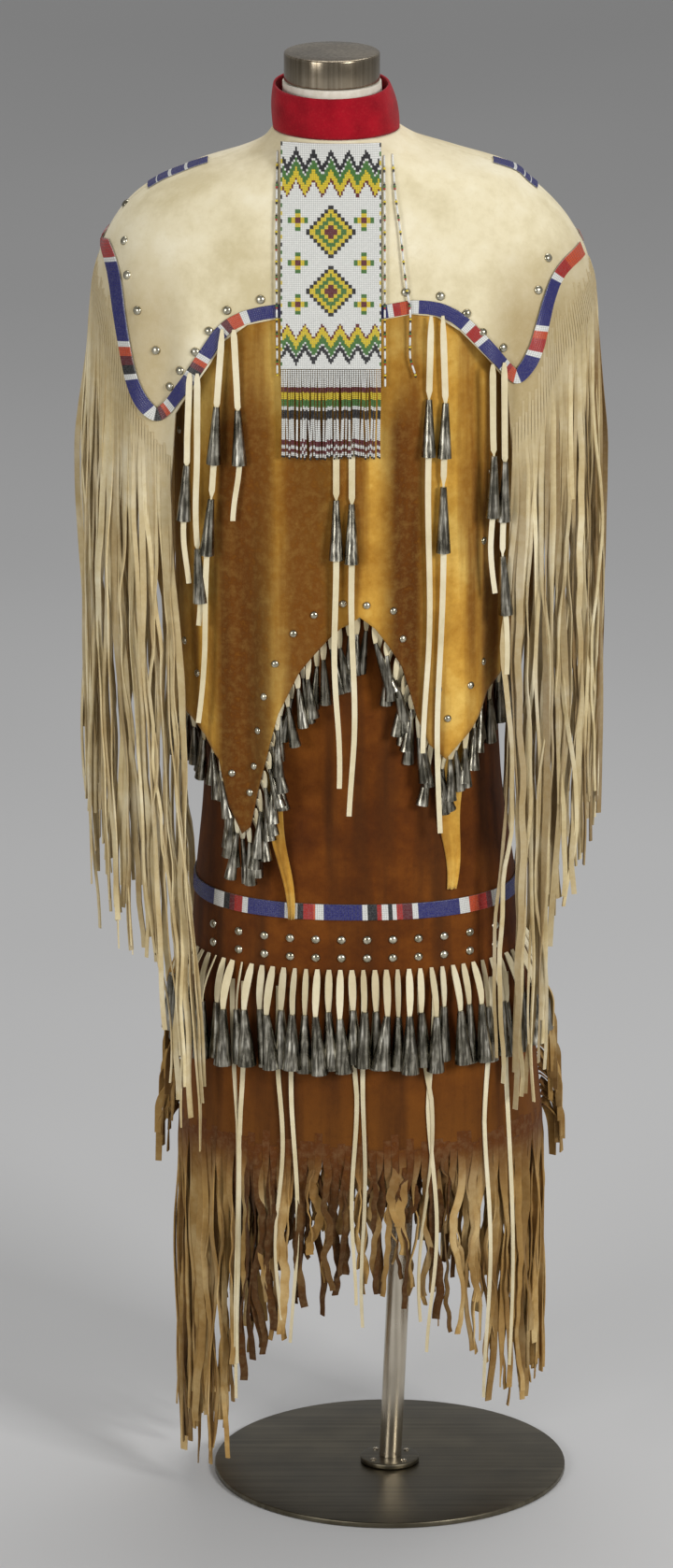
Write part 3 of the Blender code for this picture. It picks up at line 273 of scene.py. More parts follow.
# ---------------------------------------------------------------- dress form
# A smooth limbless torso, padded and covered in plain cream cotton drawn tight. Only its neck shows above the
# collar and its underside from below. Its rings are rounded between ellipse and box by a power.
Section = namedtuple("Section", "z centre half_width front back square")
FORM = [
    Section(1.5367, -0.0626, 0.0515, 0.0515, 0.0515, 2.0),
    Section(1.4950, -0.0605, 0.0530, 0.0540, 0.0530, 2.0),
    Section(1.4835, -0.0570, 0.0630, 0.0610, 0.0600, 2.0),
    Section(1.4728, -0.0520, 0.0810, 0.0715, 0.0690, 2.0),
    Section(1.4578, -0.0440, 0.1190, 0.0850, 0.0805, 2.1),
    Section(1.4430, -0.0450, 0.1600, 0.0940, 0.0890, 2.2),
    Section(1.4200, -0.0490, 0.1760, 0.1030, 0.0970, 2.2),
    Section(1.3800, -0.0500, 0.1680, 0.1150, 0.1050, 2.2),
    Section(1.2700, -0.0500, 0.1480, 0.1260, 0.1050, 2.1),
    Section(1.1800, -0.0500, 0.1320, 0.1080, 0.0950, 2.0),
    Section(1.0900, -0.0490, 0.1200, 0.0950, 0.0900, 2.0),
    Section(1.0000, -0.0460, 0.1340, 0.1030, 0.1040, 2.0),
    Section(0.9000, -0.0430, 0.1440, 0.1100, 0.1120, 2.1),
    Section(0.8000, -0.0400, 0.1420, 0.1080, 0.1100, 2.1),
    Section(0.7800, -0.0390, 0.1340, 0.1000, 0.1020, 2.1),
]


def smooth_column(at, known, values):
    """Values between a table's rows, on a cubic curve whose slope at a row is the harmonic mean of its sides."""
    order = np.argsort(known)
    x = np.asarray(known, float)[order]
    y = np.asarray(values, float)[order]
    step = np.diff(x)
    slope = np.diff(y) / step
    lean = np.zeros(len(x))
    before, after = slope[:-1], slope[1:]
    same_way = before * after > 0
    both = np.where(same_way, before + after, 1.0)
    lean[1:-1] = np.where(same_way, 2 * before * after / both, 0.0)
    lean[0], lean[-1] = slope[0], slope[-1]
    place = np.clip(np.asarray(at, float), x[0], x[-1])
    k = np.clip(np.searchsorted(x, place) - 1, 0, len(step) - 1)
    t = (place - x[k]) / step[k]
    hermite = step[k] * t * (1 - t) * (lean[k] * (1 - t) - lean[k + 1] * t)
    return y[k] + (y[k + 1] - y[k]) * t * t * (3 - 2 * t) + hermite


def column(sections, field, z):
    """One column of a table of sections, read at these heights."""
    return smooth_column(z, [s.z for s in sections], [getattr(s, field) for s in sections])


def power(value, exponent):
    """The size of a value raised to a power, with the value's sign."""
    return np.sign(value) * np.abs(value) ** exponent


def ring(sections, folds, angle, z):
    """Points round the body: x = middle + half width |sin a|^(2/n), y = -depth |cos a|^(2/n), pushed out by folds."""
    angle, z = np.broadcast_arrays(np.asarray(angle, float), np.asarray(z, float))
    share = 2 / column(sections, "square", z)
    side, ahead = np.sin(angle), np.cos(angle)
    depth = np.where(ahead >= 0, column(sections, "front", z), column(sections, "back", z))
    middle = column(sections, "centre", z)
    x = middle + column(sections, "half_width", z) * power(side, share)
    y = -depth * power(ahead, share)
    seen_x = np.where(ahead >= 0, x, 2 * middle - x)
    out = np.zeros(x.shape)
    for fold in folds:
        ramp_in = np.clip((fold.top - z) / fold.reach, 0, 1)
        out = out + fold.depth * ramp_in * np.exp(-(((seen_x - fold.x) / fold.width) ** 2))
    out = out * np.abs(ahead) ** 0.5
    return np.stack([x + out * side, y - out * ahead, z], -1)


cotton = new_material("form_cotton", 0.85, sheen=0.15)
place = cotton.node("ShaderNodeTexCoord").outputs["Object"]
thread = cotton.node("ShaderNodeTexWave", {"Vector": place, "Scale": 420.0}, bands_direction="Z").outputs["Fac"]
slub = cotton.noise(160.0, 3.0)
cotton.fit(
    Base_Color=cotton.ramp(slub, (0.3, paint(222, 214, 196)), (0.7, paint(238, 232, 217))),
    Normal=cotton.bump(slub, 0.0002, cotton.bump(thread, 0.00008)),
)
heights = np.linspace(FORM[0].z, FORM[-1].z, 90)[:, None]
around = np.linspace(0, 2 * math.pi, 96, endpoint=False)[None, :]
form = tubes("padded_form", ring(FORM, [], around, heights)[None, :, ::-1], cotton.material, smooth=60.0)
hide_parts("dress_form")


# ---------------------------------------------------------------- yoke
# Cream buckskin, a front and a back hide meeting along the shoulders and falling over them as open sleeves.
# The nap is soft and clouded. Shallow folds hang from each shoulder, and each panel ends in a point at each side.
# Painted shade darkens the hide in the folds by each sleeve toward its lower corners, more on the right.
Fold = namedtuple("Fold", "x width depth top reach")
Edge = namedtuple("Edge", "x z")
HALVES = (("front", 1), ("back", -1))
HIDE, REST, BEADWORK = 0.0020, 0.0006, 0.0015
NECK = 1.488
YOKE = [
    Section(1.488, -0.058, 0.0660, 0.066, 0.066, 2.00),
    Section(1.475, -0.052, 0.0830, 0.078, 0.074, 2.00),
    Section(1.460, -0.044, 0.1220, 0.092, 0.086, 2.10),
    Section(1.445, -0.043, 0.1700, 0.103, 0.097, 2.20),
    Section(1.432, -0.050, 0.1930, 0.110, 0.104, 2.25),
    Section(1.411, -0.053, 0.2195, 0.118, 0.112, 2.30),
    Section(1.385, -0.0525, 0.2400, 0.126, 0.119, 2.35),
    Section(1.353, -0.051, 0.2550, 0.133, 0.125, 2.40),
    Section(1.320, -0.050, 0.2620, 0.138, 0.130, 2.40),
    Section(1.270, -0.049, 0.2660, 0.141, 0.133, 2.40),
    Section(1.120, -0.048, 0.2640, 0.144, 0.135, 2.40),
]
YOKE_FOLDS = [
    Fold(-0.264, 0.016, 0.0040, 1.40, 0.16),
    Fold(-0.238, 0.015, -0.0045, 1.38, 0.16),
    Fold(-0.208, 0.017, 0.0035, 1.37, 0.14),
    Fold(0.098, 0.016, 0.0035, 1.38, 0.14),
    Fold(0.124, 0.014, -0.0040, 1.39, 0.14),
    Fold(0.152, 0.015, 0.0045, 1.41, 0.16),
    Fold(0.180, 0.014, -0.0035, 1.39, 0.12),
]
YOKE_SIDE_ENDS = (1.323, 1.325)
YOKE_EDGE = [
    Edge(-0.309, 1.300), Edge(-0.300, 1.275), Edge(-0.287, 1.228), Edge(-0.262, 1.186), Edge(-0.245, 1.158),
    Edge(-0.232, 1.133), Edge(-0.226, 1.209), Edge(-0.205, 1.238), Edge(-0.189, 1.264), Edge(-0.174, 1.290),
    Edge(-0.150, 1.308), Edge(-0.116, 1.316), Edge(-0.080, 1.312), Edge(-0.043, 1.311), Edge(-0.010, 1.315),
    Edge(0.020, 1.320), Edge(0.045, 1.317), Edge(0.070, 1.301), Edge(0.092, 1.277), Edge(0.112, 1.254),
    Edge(0.121, 1.244), Edge(0.127, 1.162), Edge(0.152, 1.200), Edge(0.165, 1.232), Edge(0.183, 1.268),
    Edge(0.200, 1.292), Edge(0.210, 1.312),
]


def yoke_at(angle, z):
    """The yoke's outer face: its rings, pushed out by its folds."""
    return ring(YOKE, YOKE_FOLDS, angle, z)


def moved(surface, angle, z, out):
    """Points of a surface moved along its outward normal, the cross of its two tangents."""
    nudge = 1e-4
    angle, z, out = np.broadcast_arrays(np.asarray(angle, float), np.asarray(z, float), np.asarray(out, float))
    around = surface(angle + nudge, z) - surface(angle - nudge, z)
    upward = surface(angle, z + nudge) - surface(angle, z - nudge)
    normal = np.cross(around, upward)
    normal = normal / np.linalg.norm(normal, axis=-1, keepdims=True)
    return surface(angle, z) + normal * out[..., None]


def angle_at(sections, x, z, facing):
    """The angle of the ring's point with this x: arcsin of the x share to the power n/2, front or back."""
    reach = (np.asarray(x, float) - column(sections, "centre", z)) / column(sections, "half_width", z)
    side = power(np.clip(reach, -1, 1), column(sections, "square", z) / 2)
    angle = np.arcsin(np.clip(side, -1, 1))
    return angle if facing > 0 else math.pi - angle


def panel_columns(sections, edges, side_ends, facing, columns):
    """Angles and lower heights of a panel's columns: the edge's own corners, with even columns set in between."""
    x, z = np.array(edges).T
    left = -math.pi / 2 if facing > 0 else 1.5 * math.pi
    angles = np.concatenate([[left], angle_at(sections, x, z, facing), [math.pi / 2]])
    lows = np.concatenate([[side_ends[0]], z, [side_ends[1]]])
    order = np.argsort(angles)
    angles, lows = angles[order], lows[order]
    even = np.linspace(angles[0], angles[-1], columns)
    even = even[np.min(np.abs(even[:, None] - angles[None, :]), 1) > 0.006]
    fine = np.sort(np.concatenate([angles, even]))
    return fine, np.interp(fine, angles, lows)


def shell(name, grid, thickness, material):
    """An open cloth surface from a grid whose rows run down and whose columns run round, with a wall inside it."""
    rows, columns = grid.shape[:2]
    index = np.arange(rows * columns).reshape(rows, columns)
    quads = np.stack([index[1:, :-1], index[1:, 1:], index[:-1, 1:], index[:-1, :-1]], -1).reshape(-1, 4)
    piece = mesh_piece(name, grid, [quads], material, smooth=None)
    wall = piece.modifiers.new("wall", "SOLIDIFY")
    wall.thickness = thickness
    wall.offset = -1.0
    wall.use_even_offset = True
    return piece


def part_at_ridge(grid, facing, gap):
    """Keeps a front or back panel just clear of the plane in which the two panels meet."""
    grid[..., 1] = np.where(facing * grid[..., 1] > -gap, -facing * gap, grid[..., 1])
    return grid


Dye = namedtuple("Dye", "deep middle pale nap")


def hide(name, dye, streaks=None, sheen=0.06, crease=0.0010, cut_from=None, cut_tone=0.0):
    """Napped hide: two sizes of cloud choose the colour, a fibrous noise gives nap, and creases are a soft bump.

    Strips have the dye of the hide that they are cut from where their "cut" is 1.
    """
    grain = 0.00025
    make = new_material(name, 0.88, sheen=sheen, specular=0.12)
    cloud = make.noise(11.0, 7.0, 0.65)
    fleck = make.noise(120.0, 5.0, 0.7)
    fibre = make.noise((900, 900, 260), 3.0)
    buckle = make.noise((17, 17, 6))

    def clouded(dye, tone):
        """The dye's three colours by the broad cloud, then this far toward its nap."""
        return make.mix(tone, make.ramp(cloud, (0.33, dye.deep), (0.50, dye.middle), (0.67, dye.pale)), dye.nap)

    colour = clouded(dye, make.node("ShaderNodeAttribute", attribute_name="tone").outputs["Fac"])
    if streaks:
        hung = make.noise((34, 34, 2.4), 6.0)
        colour = make.mix(make.ramp(hung, (0.46, grey(0.0)), (0.66, grey(0.85))), colour, streaks)
    if cut_from:
        cut = make.node("ShaderNodeAttribute", attribute_name="cut").outputs["Fac"]
        colour = make.mix(cut, colour, clouded(cut_from, cut_tone))
    colour = make.mix(make.ramp(fleck, (0.42, grey(0.0)), (0.72, grey(0.11))), colour, dye.pale)
    colour = make.mix(make.ramp(fleck, (0.30, grey(0.22)), (0.46, grey(0.0))), colour, dye.deep)
    uneven = make.bump(fleck, grain, make.bump(buckle, crease))
    make.fit(Base_Color=colour, Normal=make.bump(fibre, grain * 0.5, uneven))
    return make.material


def mark_points(piece, values, name="tone", corners=1):
    """A number at each point, each value being given to this many corners that lie side by side.

    It is how far the colour goes toward the hide's nap ("tone"), which in some places also carries painted shade and in
    one painted light, or toward the hide that it is cut from ("cut"), or how high a bead stands ("crown").
    """
    made = piece.data.attributes.new(name, "FLOAT", "POINT")
    made.data.foreach_set("value", np.repeat(values, corners, axis=-1).astype(np.float32).reshape(-1))


CREAM = Dye(paint(208, 194, 154), paint(229, 217, 182), paint(240, 231, 203), paint(166, 144, 98))
cream_hide = hide("cream_buckskin", CREAM, sheen=0.12)
for label, facing in HALVES:
    angles, lows = panel_columns(YOKE, YOKE_EDGE, YOKE_SIDE_ENDS, facing, 150)
    shares = np.linspace(0, 1, 60)[:, None] ** 1.25
    grid = part_at_ridge(yoke_at(angles[None, :], NECK + (lows[None, :] - NECK) * shares), facing, 0.0001)
    yoke = shell("cream_yoke_" + label, grid, 0.0019, cream_hide)
    # Painted shade: toward the lower corners by each sleeve the hide goes toward its darker nap colour, standing in for
    # the shade in the folds there, more on the right than on the left.
    fold_shade_by_sleeve = np.clip((np.abs(grid[..., 0] + 0.058) - 0.145) / 0.040, 0, 1)
    share = np.where(grid[..., 0] > 0, 0.85, 0.62)
    mark_points(yoke, share * fold_shade_by_sleeve * np.clip((1.39 - grid[..., 2]) / 0.08, 0, 1))
    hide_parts("yoke_" + label)


# ---------------------------------------------------------------- sleeve fringe
# The yoke's own hide, cut into thongs beyond the bead band. Each starts as wide as its neighbours leave room for,
# narrows where its slit begins, and hangs in loose waves, some twisted and some clinging together.
SIDES = (("left", -1), ("right", 1))
SLEEVE_STRIPS = 46
STRIP_STATIONS, STRIP_TAPER = 40, 0.25
SLEEVE_TIPS = {
    -1: [Edge(-0.312, 0.800), Edge(-0.306, 0.660), Edge(-0.286, 0.640), Edge(-0.266, 0.600), Edge(-0.252, 0.480),
         Edge(-0.237, 0.430)],
    1: [Edge(0.126, 0.470), Edge(0.141, 0.460), Edge(0.156, 0.470), Edge(0.170, 0.600), Edge(0.185, 0.665),
        Edge(0.195, 0.722), Edge(0.210, 0.757), Edge(0.216, 0.800)],
}
SLEEVE_BAND = {
    -1: [Edge(-0.304, 1.362), Edge(-0.2930, 1.346), Edge(-0.2848, 1.321), Edge(-0.2725, 1.250), Edge(-0.2595, 1.210),
         Edge(-0.2460, 1.192), Edge(-0.2330, 1.190)],
    1: [Edge(0.1200, 1.236), Edge(0.1310, 1.234), Edge(0.1410, 1.250), Edge(0.1530, 1.288), Edge(0.1665, 1.330),
        Edge(0.1820, 1.350), Edge(0.1970, 1.358)],
}
SLEEVE_SWING = {-1: 0.008, 1: 0.003}
SLEEVE_DRIFT = {-1: 0.036, 1: 0.010}
DOWN = np.array([0.0, 0.0, -1.0])


def unit(vectors):
    """Vectors divided by their lengths."""
    return vectors / np.maximum(np.linalg.norm(vectors, axis=-1, keepdims=True), 1e-9)


def flat_strips(name, centre, across, half_width, thickness, twist, material):
    """Strips of hide: at each place of centre[n, m] a four-cornered section, turned about the run by twist."""
    run = unit(np.gradient(centre, axis=1))
    wide = unit(across - run * np.sum(across * run, -1, keepdims=True))
    face = np.cross(run, wide)
    turn = twist[..., None]
    wide, face = wide * np.cos(turn) + face * np.sin(turn), face * np.cos(turn) - wide * np.sin(turn)
    wide, face = wide * half_width[..., None], face * thickness / 2
    rings = np.stack([centre + wide - face, centre + wide + face, centre - wide + face, centre - wide - face], 2)
    return tubes(name, rings, material)


def run_along(line):
    """How far along a line of points each of them lies."""
    return np.concatenate([[0], np.cumsum(np.linalg.norm(np.diff(line, axis=0), axis=1))])


def values_along(line, values, count, ends):
    """The line's own values, one a point, at even places along it."""
    run = run_along(line)
    return np.interp(np.linspace(ends, 1 - ends, count) * run[-1], run, values)


def edge_at(edges, x):
    """The height of an edge's table at x, straight between its rows."""
    return np.interp(x, *np.array(edges).T)


def spaced(line, count, ends=0.0):
    """Even places along a line of points, the level unit vector along it at each, and their pitch."""
    run = run_along(line)
    at = np.linspace(run[-1] * ends, run[-1] * (1 - ends), count)
    points = np.stack([np.interp(at, run, line[:, k]) for k in range(3)], 1)
    ahead = np.stack([np.interp(at, run, np.gradient(line[:, k], run)) for k in range(3)], 1)
    return points, unit(ahead * np.array([1.0, 1.0, 0.0])), run[-1] / count


def waves(rng, count, t, size, turns):
    """Loose waves: sums of two sines down the strip whose size grows from nothing at its root."""
    t = np.broadcast_to(t, (count, np.shape(t)[-1]))[:, None, :]
    phase = rng.uniform(0, 2 * math.pi, (count, 2, 1))
    often = turns * rng.uniform(0.6, 1.5, (count, 2, 1))
    height = size * rng.uniform(0.2, 1.0, (count, 2, 1))
    wave = height * (np.sin(2 * math.pi * often * t + phase) - np.sin(phase))
    return (wave * np.clip(3 * t, 0, 1)).sum(1)


def clumped(rng, count, size):
    """How many places each strip leans toward the middle of its clump, with this many strips a clump."""
    number = np.arange(count)
    return np.round((number + rng.uniform(-0.9, 0.9)) / size) * size - number


def fringe(name, line, starts, edge, tips, across, half, swing, drift, rng, material, wave, kink, dark):
    """Strips cut in a hide: each lies on it from its start to its edge, then hangs with a drift, a swing and waves.

    line(z) gives the strips' places at these heights. half holds each strip's half width where it lies and hangs.
    """
    count = len(starts)
    t = np.linspace(0, 1, STRIP_STATIONS)[None, :]
    z = starts[:, None] + (tips - starts)[:, None] * t
    hung = np.clip((edge[:, None] - z) / (edge - tips)[:, None], 0, 1)
    out = np.cross(DOWN, across)
    side_way = waves(rng, count, hung, wave, 1.6) + waves(rng, count, hung, kink, 6.0)
    swung = swing[:, None] * np.sin(0.5 * math.pi * np.clip(2 * hung, 0, 1))
    out_way = waves(rng, count, hung, wave * 0.6, 1.3) + swung
    centre = line(z) + across[:, None, :] * side_way[..., None] + out[:, None, :] * out_way[..., None]
    centre = centre + drift[:, None, :] * (hung**1.4)[..., None]
    free = np.clip(hung * (edge - tips)[:, None] / 0.03, 0, 1)
    wide = half[0] * (1 - free) + half[1][:, None] * free * (1 - STRIP_TAPER * hung)
    twist = free * (waves(rng, count, hung, 0.7, 0.9) + rng.normal(0, 0.3, (count, 1)))
    piece = flat_strips(name, centre, across[:, None], wide, 0.0014, twist, material)
    tone = rng.beta(0.9, 1.5, (count, 1)) * dark + waves(rng, count, t, 0.10, 2.0)
    mark_points(piece, np.clip(tone, 0, 1), corners=4)
    mark_points(piece, 1 - np.clip(hung * (edge - tips)[:, None] / 0.06, 0, 1), "cut", corners=4)
    return piece


SLEEVE_DYE = Dye(paint(192, 168, 118), paint(220, 202, 156), paint(242, 232, 200), paint(116, 86, 42))
fringe_hide = hide("fringe_buckskin", SLEEVE_DYE, sheen=0.12, cut_from=CREAM, cut_tone=0.7)
for label, side in SIDES:
    for face_label, facing in HALVES:
        rng = np.random.default_rng(40 + 3 * side + facing)
        edges = [e for e in YOKE_EDGE if (e.x < -0.230 if side < 0 else e.x > 0.125)]
        heights = [e.z for e in edges] + [YOKE_SIDE_ENDS[0] if side < 0 else YOKE_SIDE_ENDS[1]]
        ridge = math.pi / 2 if side > 0 else (-math.pi / 2 if facing > 0 else 1.5 * math.pi)
        angles = list(angle_at(YOKE, [e.x for e in edges], heights[:-1], facing))
        angles.append(ridge + (1 if angles[0] > ridge else -1) * 0.02)
        order = np.argsort(angles)
        angles, heights = np.array(angles)[order], np.array(heights)[order]
        fine = np.linspace(angles[0], angles[-1], 400)
        level = yoke_at(fine, np.interp(fine, angles, heights)) * np.array([1.0, 1.0, 0.0])
        roots, across, pitch = spaced(level, SLEEVE_STRIPS, 0.004)
        angle = values_along(level, fine, SLEEVE_STRIPS, 0.004)
        edge = np.interp(angle, angles, heights)
        band = edge_at(SLEEVE_BAND[side], roots[:, 0])
        starts = edge + (band - edge) * rng.uniform(0.40, 0.72, SLEEVE_STRIPS)

        def line(z, angle=angle, edge=edge):
            """The strips' places at these heights: on the yoke down to its edge, then straight down."""
            lift = -0.0004 + 0.0022 * np.clip((edge[:, None] + 0.03 - z) / 0.03, 0, 1)
            place = moved(yoke_at, angle[:, None], np.maximum(z, edge[:, None]), lift)
            return np.stack([place[..., 0], place[..., 1], z], -1)
        out = np.cross(DOWN, across)
        inner = np.clip(np.abs(roots[:, 1]) / 0.115, 0, 1)
        tips = edge_at(SLEEVE_TIPS[side], roots[:, 0]) + rng.uniform(-0.035, 0.045, SLEEVE_STRIPS)
        swing = rng.uniform(-0.004, 0.002, SLEEVE_STRIPS) + 0.003 * (np.arange(SLEEVE_STRIPS) % 2)
        swing = swing + SLEEVE_SWING[side] * np.abs(out[:, 0]) ** 3
        drift = np.stack([-side * SLEEVE_DRIFT[side] * inner**2, -facing * 0.003 * inner, 0 * inner], 1)
        clump = clumped(rng, SLEEVE_STRIPS, 3.6) * pitch
        drift = drift + across * (rng.normal(0, 0.005, (SLEEVE_STRIPS, 1)) + 0.7 * clump[:, None])
        # Painted light: the left sleeve's strips go only about half as far toward the dark nap as the right's, so they
        # are lighter, standing in for light on that side.
        piece = fringe(
            f"sleeve_strips_{label}_{face_label}", line, starts, edge, tips, across,
            (0.43 * pitch, rng.uniform(0.0018, 0.0044, SLEEVE_STRIPS)), swing, drift, rng, fringe_hide,
            wave=0.0052, kink=0.0012, dark=0.55 if side < 0 else 1.0,
        )
        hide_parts(f"sleeve_fringe_{label}_{face_label}")


# ---------------------------------------------------------------- bead bands of the yoke and shoulders
# Lazy-stitch bead bands: rows of small glass beads laid across the band, in blocks of cobalt, white, orange, dark
# red and black. One runs along the yoke's lower edge and up each sleeve, and a short strip lies on each shoulder.
YOKE_BAND = [
    Edge(-0.2990, 1.3710), Edge(-0.2955, 1.3670), Edge(-0.2905, 1.3565), Edge(-0.2875, 1.3460), Edge(-0.2848, 1.3310),
    Edge(-0.2820, 1.310), Edge(-0.2778, 1.286), Edge(-0.2725, 1.260), Edge(-0.2682, 1.2430), Edge(-0.2640, 1.2310),
    Edge(-0.2595, 1.2210), Edge(-0.2545, 1.213), Edge(-0.2460, 1.204), Edge(-0.2330, 1.216), Edge(-0.2220, 1.230),
    Edge(-0.2100, 1.246), Edge(-0.1970, 1.268), Edge(-0.1800, 1.296), Edge(-0.1680, 1.308), Edge(-0.1530, 1.316),
    Edge(-0.1350, 1.321), Edge(-0.1160, 1.324), Edge(-0.0800, 1.320), Edge(-0.0430, 1.319), Edge(-0.0100, 1.323),
    Edge(0.0200, 1.328), Edge(0.0360, 1.327), Edge(0.0500, 1.324), Edge(0.0640, 1.317), Edge(0.0760, 1.307),
    Edge(0.0870, 1.295), Edge(0.0980, 1.282), Edge(0.1090, 1.269), Edge(0.1200, 1.257), Edge(0.1310, 1.246),
    Edge(0.1410, 1.262), Edge(0.1480, 1.280), Edge(0.1530, 1.300), Edge(0.1590, 1.322), Edge(0.1665, 1.3405),
    Edge(0.1740, 1.3510), Edge(0.1820, 1.3575), Edge(0.1890, 1.3610), Edge(0.1970, 1.3640),
]
BAND_WIDTH, BAND_COLUMNS = 0.014, 7
BEAD, BEAD_RISE = 0.0019, 0.0009
PATH_STEP, PATH_SOFT, AHEAD_SOFT, AHEAD_STEPS = 0.0005, 0.0035, 0.008, 48
SHOULDER_TOP, SHOULDER_LOW, SHOULDER_DEEP, SHOULDER_LONG, SHOULDER_COLUMNS = 1.4520, 1.4250, 0.024, 0.075, 12
BEAD_COLOURS = {
    "w": paint(232, 232, 226), "b": paint(26, 26, 108), "k": paint(16, 14, 18), "d": paint(98, 10, 22),
    "r": paint(172, 26, 14), "o": paint(204, 74, 24), "y": paint(222, 196, 34), "g": paint(66, 118, 42),
}
Block = namedtuple("Block", "end colour")
YOKE_BLOCKS = [
    Block(0.013, "r"), Block(0.017, "w"), Block(0.095, "b"), Block(0.101, "w"), Block(0.110, "o"), Block(0.119, "d"),
    Block(0.130, "k"), Block(0.136, "w"), Block(0.170, "b"), Block(0.176, "w"), Block(0.182, "k"), Block(0.188, "d"),
    Block(0.195, "o"), Block(0.201, "w"), Block(0.238, "b"), Block(0.243, "w"), Block(0.249, "k"), Block(0.255, "d"),
    Block(0.261, "o"), Block(0.266, "w"), Block(0.298, "b"), Block(0.303, "w"), Block(0.310, "d"), Block(0.324, "o"),
    Block(0.331, "w"), Block(0.372, "b"), Block(0.380, "w"), Block(0.395, "o"), Block(0.404, "w"), Block(0.436, "b"),
    Block(0.444, "w"), Block(0.458, "d"), Block(0.466, "w"), Block(0.475, "b"), Block(0.481, "w"), Block(0.488, "r"),
    Block(0.499, "o"), Block(0.508, "w"), Block(0.562, "b"), Block(0.569, "w"), Block(0.583, "r"), Block(0.588, "w"),
    Block(0.620, "b"), Block(0.625, "w"), Block(0.632, "r"), Block(0.641, "o"), Block(0.646, "w"), Block(0.672, "b"),
    Block(0.678, "w"), Block(0.690, "r"), Block(0.698, "o"), Block(0.703, "w"), Block(0.750, "b"), Block(0.755, "w"),
    Block(0.768, "r"), Block(0.790, "o"),
]
SHOULDER_BLOCKS = [
    Block(0.26, "b"), Block(0.32, "w"), Block(0.52, "b"), Block(0.57, "w"), Block(0.76, "b"), Block(0.80, "w"),
    Block(1.0, "b"),
]


def colour_points(piece, name, colours):
    """A colour at each point, in the order of the points."""
    made = piece.data.color_attributes.new(name, "FLOAT_COLOR", "POINT")
    made.data.foreach_set("color", np.asarray(colours, np.float32).reshape(-1))


def bead_panel(name, place, colours, material, backing=2):
    """Beadwork in relief: each bead is a small dome, 1 - 0.8 x squared both ways, on a closed flat backing.

    place(u, v, out) gives a point u of the way down and v across. colours[rows, columns] has one colour a bead.
    """
    rows, columns = colours.shape[:2]
    down, over = np.arange(3 * rows), np.arange(3 * columns)
    crown = (1 - 0.8 * ((down % 3 - 1) * 0.667) ** 2)[:, None] * (1 - 0.8 * ((over % 3 - 1) * 0.667) ** 2)[None, :]
    u = ((down + 0.5) / len(down))[:, None]
    v = ((over + 0.5) / len(over))[None, :]
    outer = place(u, v, BEADWORK - BEAD_RISE + crown * BEAD_RISE)
    inner = place(u, np.linspace(0, 1, backing)[None, :], np.zeros((len(down), backing)))
    o = np.arange(outer[..., 0].size).reshape(outer.shape[:2])
    q = o.size + np.arange(inner[..., 0].size).reshape(inner.shape[:2])
    faces = [
        np.stack([o[:-1, :-1], o[1:, :-1], o[1:, 1:], o[:-1, 1:]], -1).reshape(-1, 4),
        np.stack([q[:-1, :-1], q[:-1, 1:], q[1:, 1:], q[1:, :-1]], -1).reshape(-1, 4),
        np.stack([o[:-1, 0], q[:-1, 0], q[1:, 0], o[1:, 0]], -1),
        np.stack([o[:-1, -1], o[1:, -1], q[1:, -1], q[:-1, -1]], -1),
        np.concatenate([o[0], q[0, ::-1]])[None],
        np.concatenate([q[-1], o[-1, ::-1]])[None],
    ]
    i, j = len(down) // 2, len(over) // 2
    normal = np.cross(outer[i + 1, j] - outer[i, j], outer[i, j + 1] - outer[i, j])
    if np.dot(normal, place(u, v, BEADWORK)[i, j] - place(u, v, 0.0)[i, j]) < 0:
        faces = [f[:, ::-1] for f in faces]
    points = np.concatenate([outer.reshape(-1, 3), inner.reshape(-1, 3)])
    piece = mesh_piece(name, points, faces, material, smooth=None)
    bead = np.repeat(np.repeat(colours, 3, 0), 3, 1).reshape(-1, 4)
    colour_points(piece, "bead_colour", np.concatenate([bead, np.tile(BEAD_COLOURS["w"], (q.size, 1))]))
    mark_points(piece, np.concatenate([crown.reshape(-1), np.zeros(q.size)]), "crown")
    return piece


# Each bead has its own colour, darker where bead meets bead: partly the thread that shows there, partly painted
# shade in the groove. Small tints vary from bead to bead.
glass = new_material("glass_beads", 0.30, coat=0.08)
bead = glass.node("ShaderNodeAttribute", attribute_name="bead_colour").outputs["Color"]
crown = glass.node("ShaderNodeAttribute", attribute_name="crown").outputs["Fac"]
tint = glass.noise(520.0, 1.0)
between = glass.mix(0.65, bead, grey(0.02))
shaded = glass.mix(glass.ramp(crown, (0.25, grey(0.0)), (0.75, grey(1.0))), between, bead)
tinted = glass.mix(0.5, bead, grey(0.35))
glass.fit(
    Base_Color=glass.mix(glass.ramp(tint, (0.35, grey(0.22)), (0.65, grey(0.0))), shaded, tinted),
    Roughness=glass.ramp(tint, (0.3, grey(0.18)), (0.7, grey(0.34))),
)
beads = glass.material


def smoothed_path(edges, step, soft):
    """A path drawn in x and z, resampled in even steps and softened by a bell of this width at its corners."""
    points = np.array(edges, float)
    run = np.concatenate([[0], np.cumsum(np.hypot(*np.diff(points, axis=0).T))])
    at = np.arange(-4 * soft, run[-1] + 4 * soft, step)
    fine = np.stack([np.interp(at, run, points[:, k]) for k in range(2)], 1)
    ends = (np.minimum(at, 0)[:, None] * (points[1] - points[0]) / (run[1] - run[0])
            + np.maximum(at - run[-1], 0)[:, None] * (points[-1] - points[-2]) / (run[-1] - run[-2]))
    fine = fine + ends
    bell = np.exp(-0.5 * (np.arange(-3 * soft, 3 * soft + step, step) / soft) ** 2)
    bell = bell / bell.sum()
    fine = np.stack([np.convolve(fine[:, k], bell, "same") for k in range(2)], 1)
    keep = (at >= 0) & (at <= run[-1])
    return fine[keep], run[-1]


path, path_run = smoothed_path(YOKE_BAND, PATH_STEP, PATH_SOFT)
path_ahead = unit(np.gradient(path, axis=0))


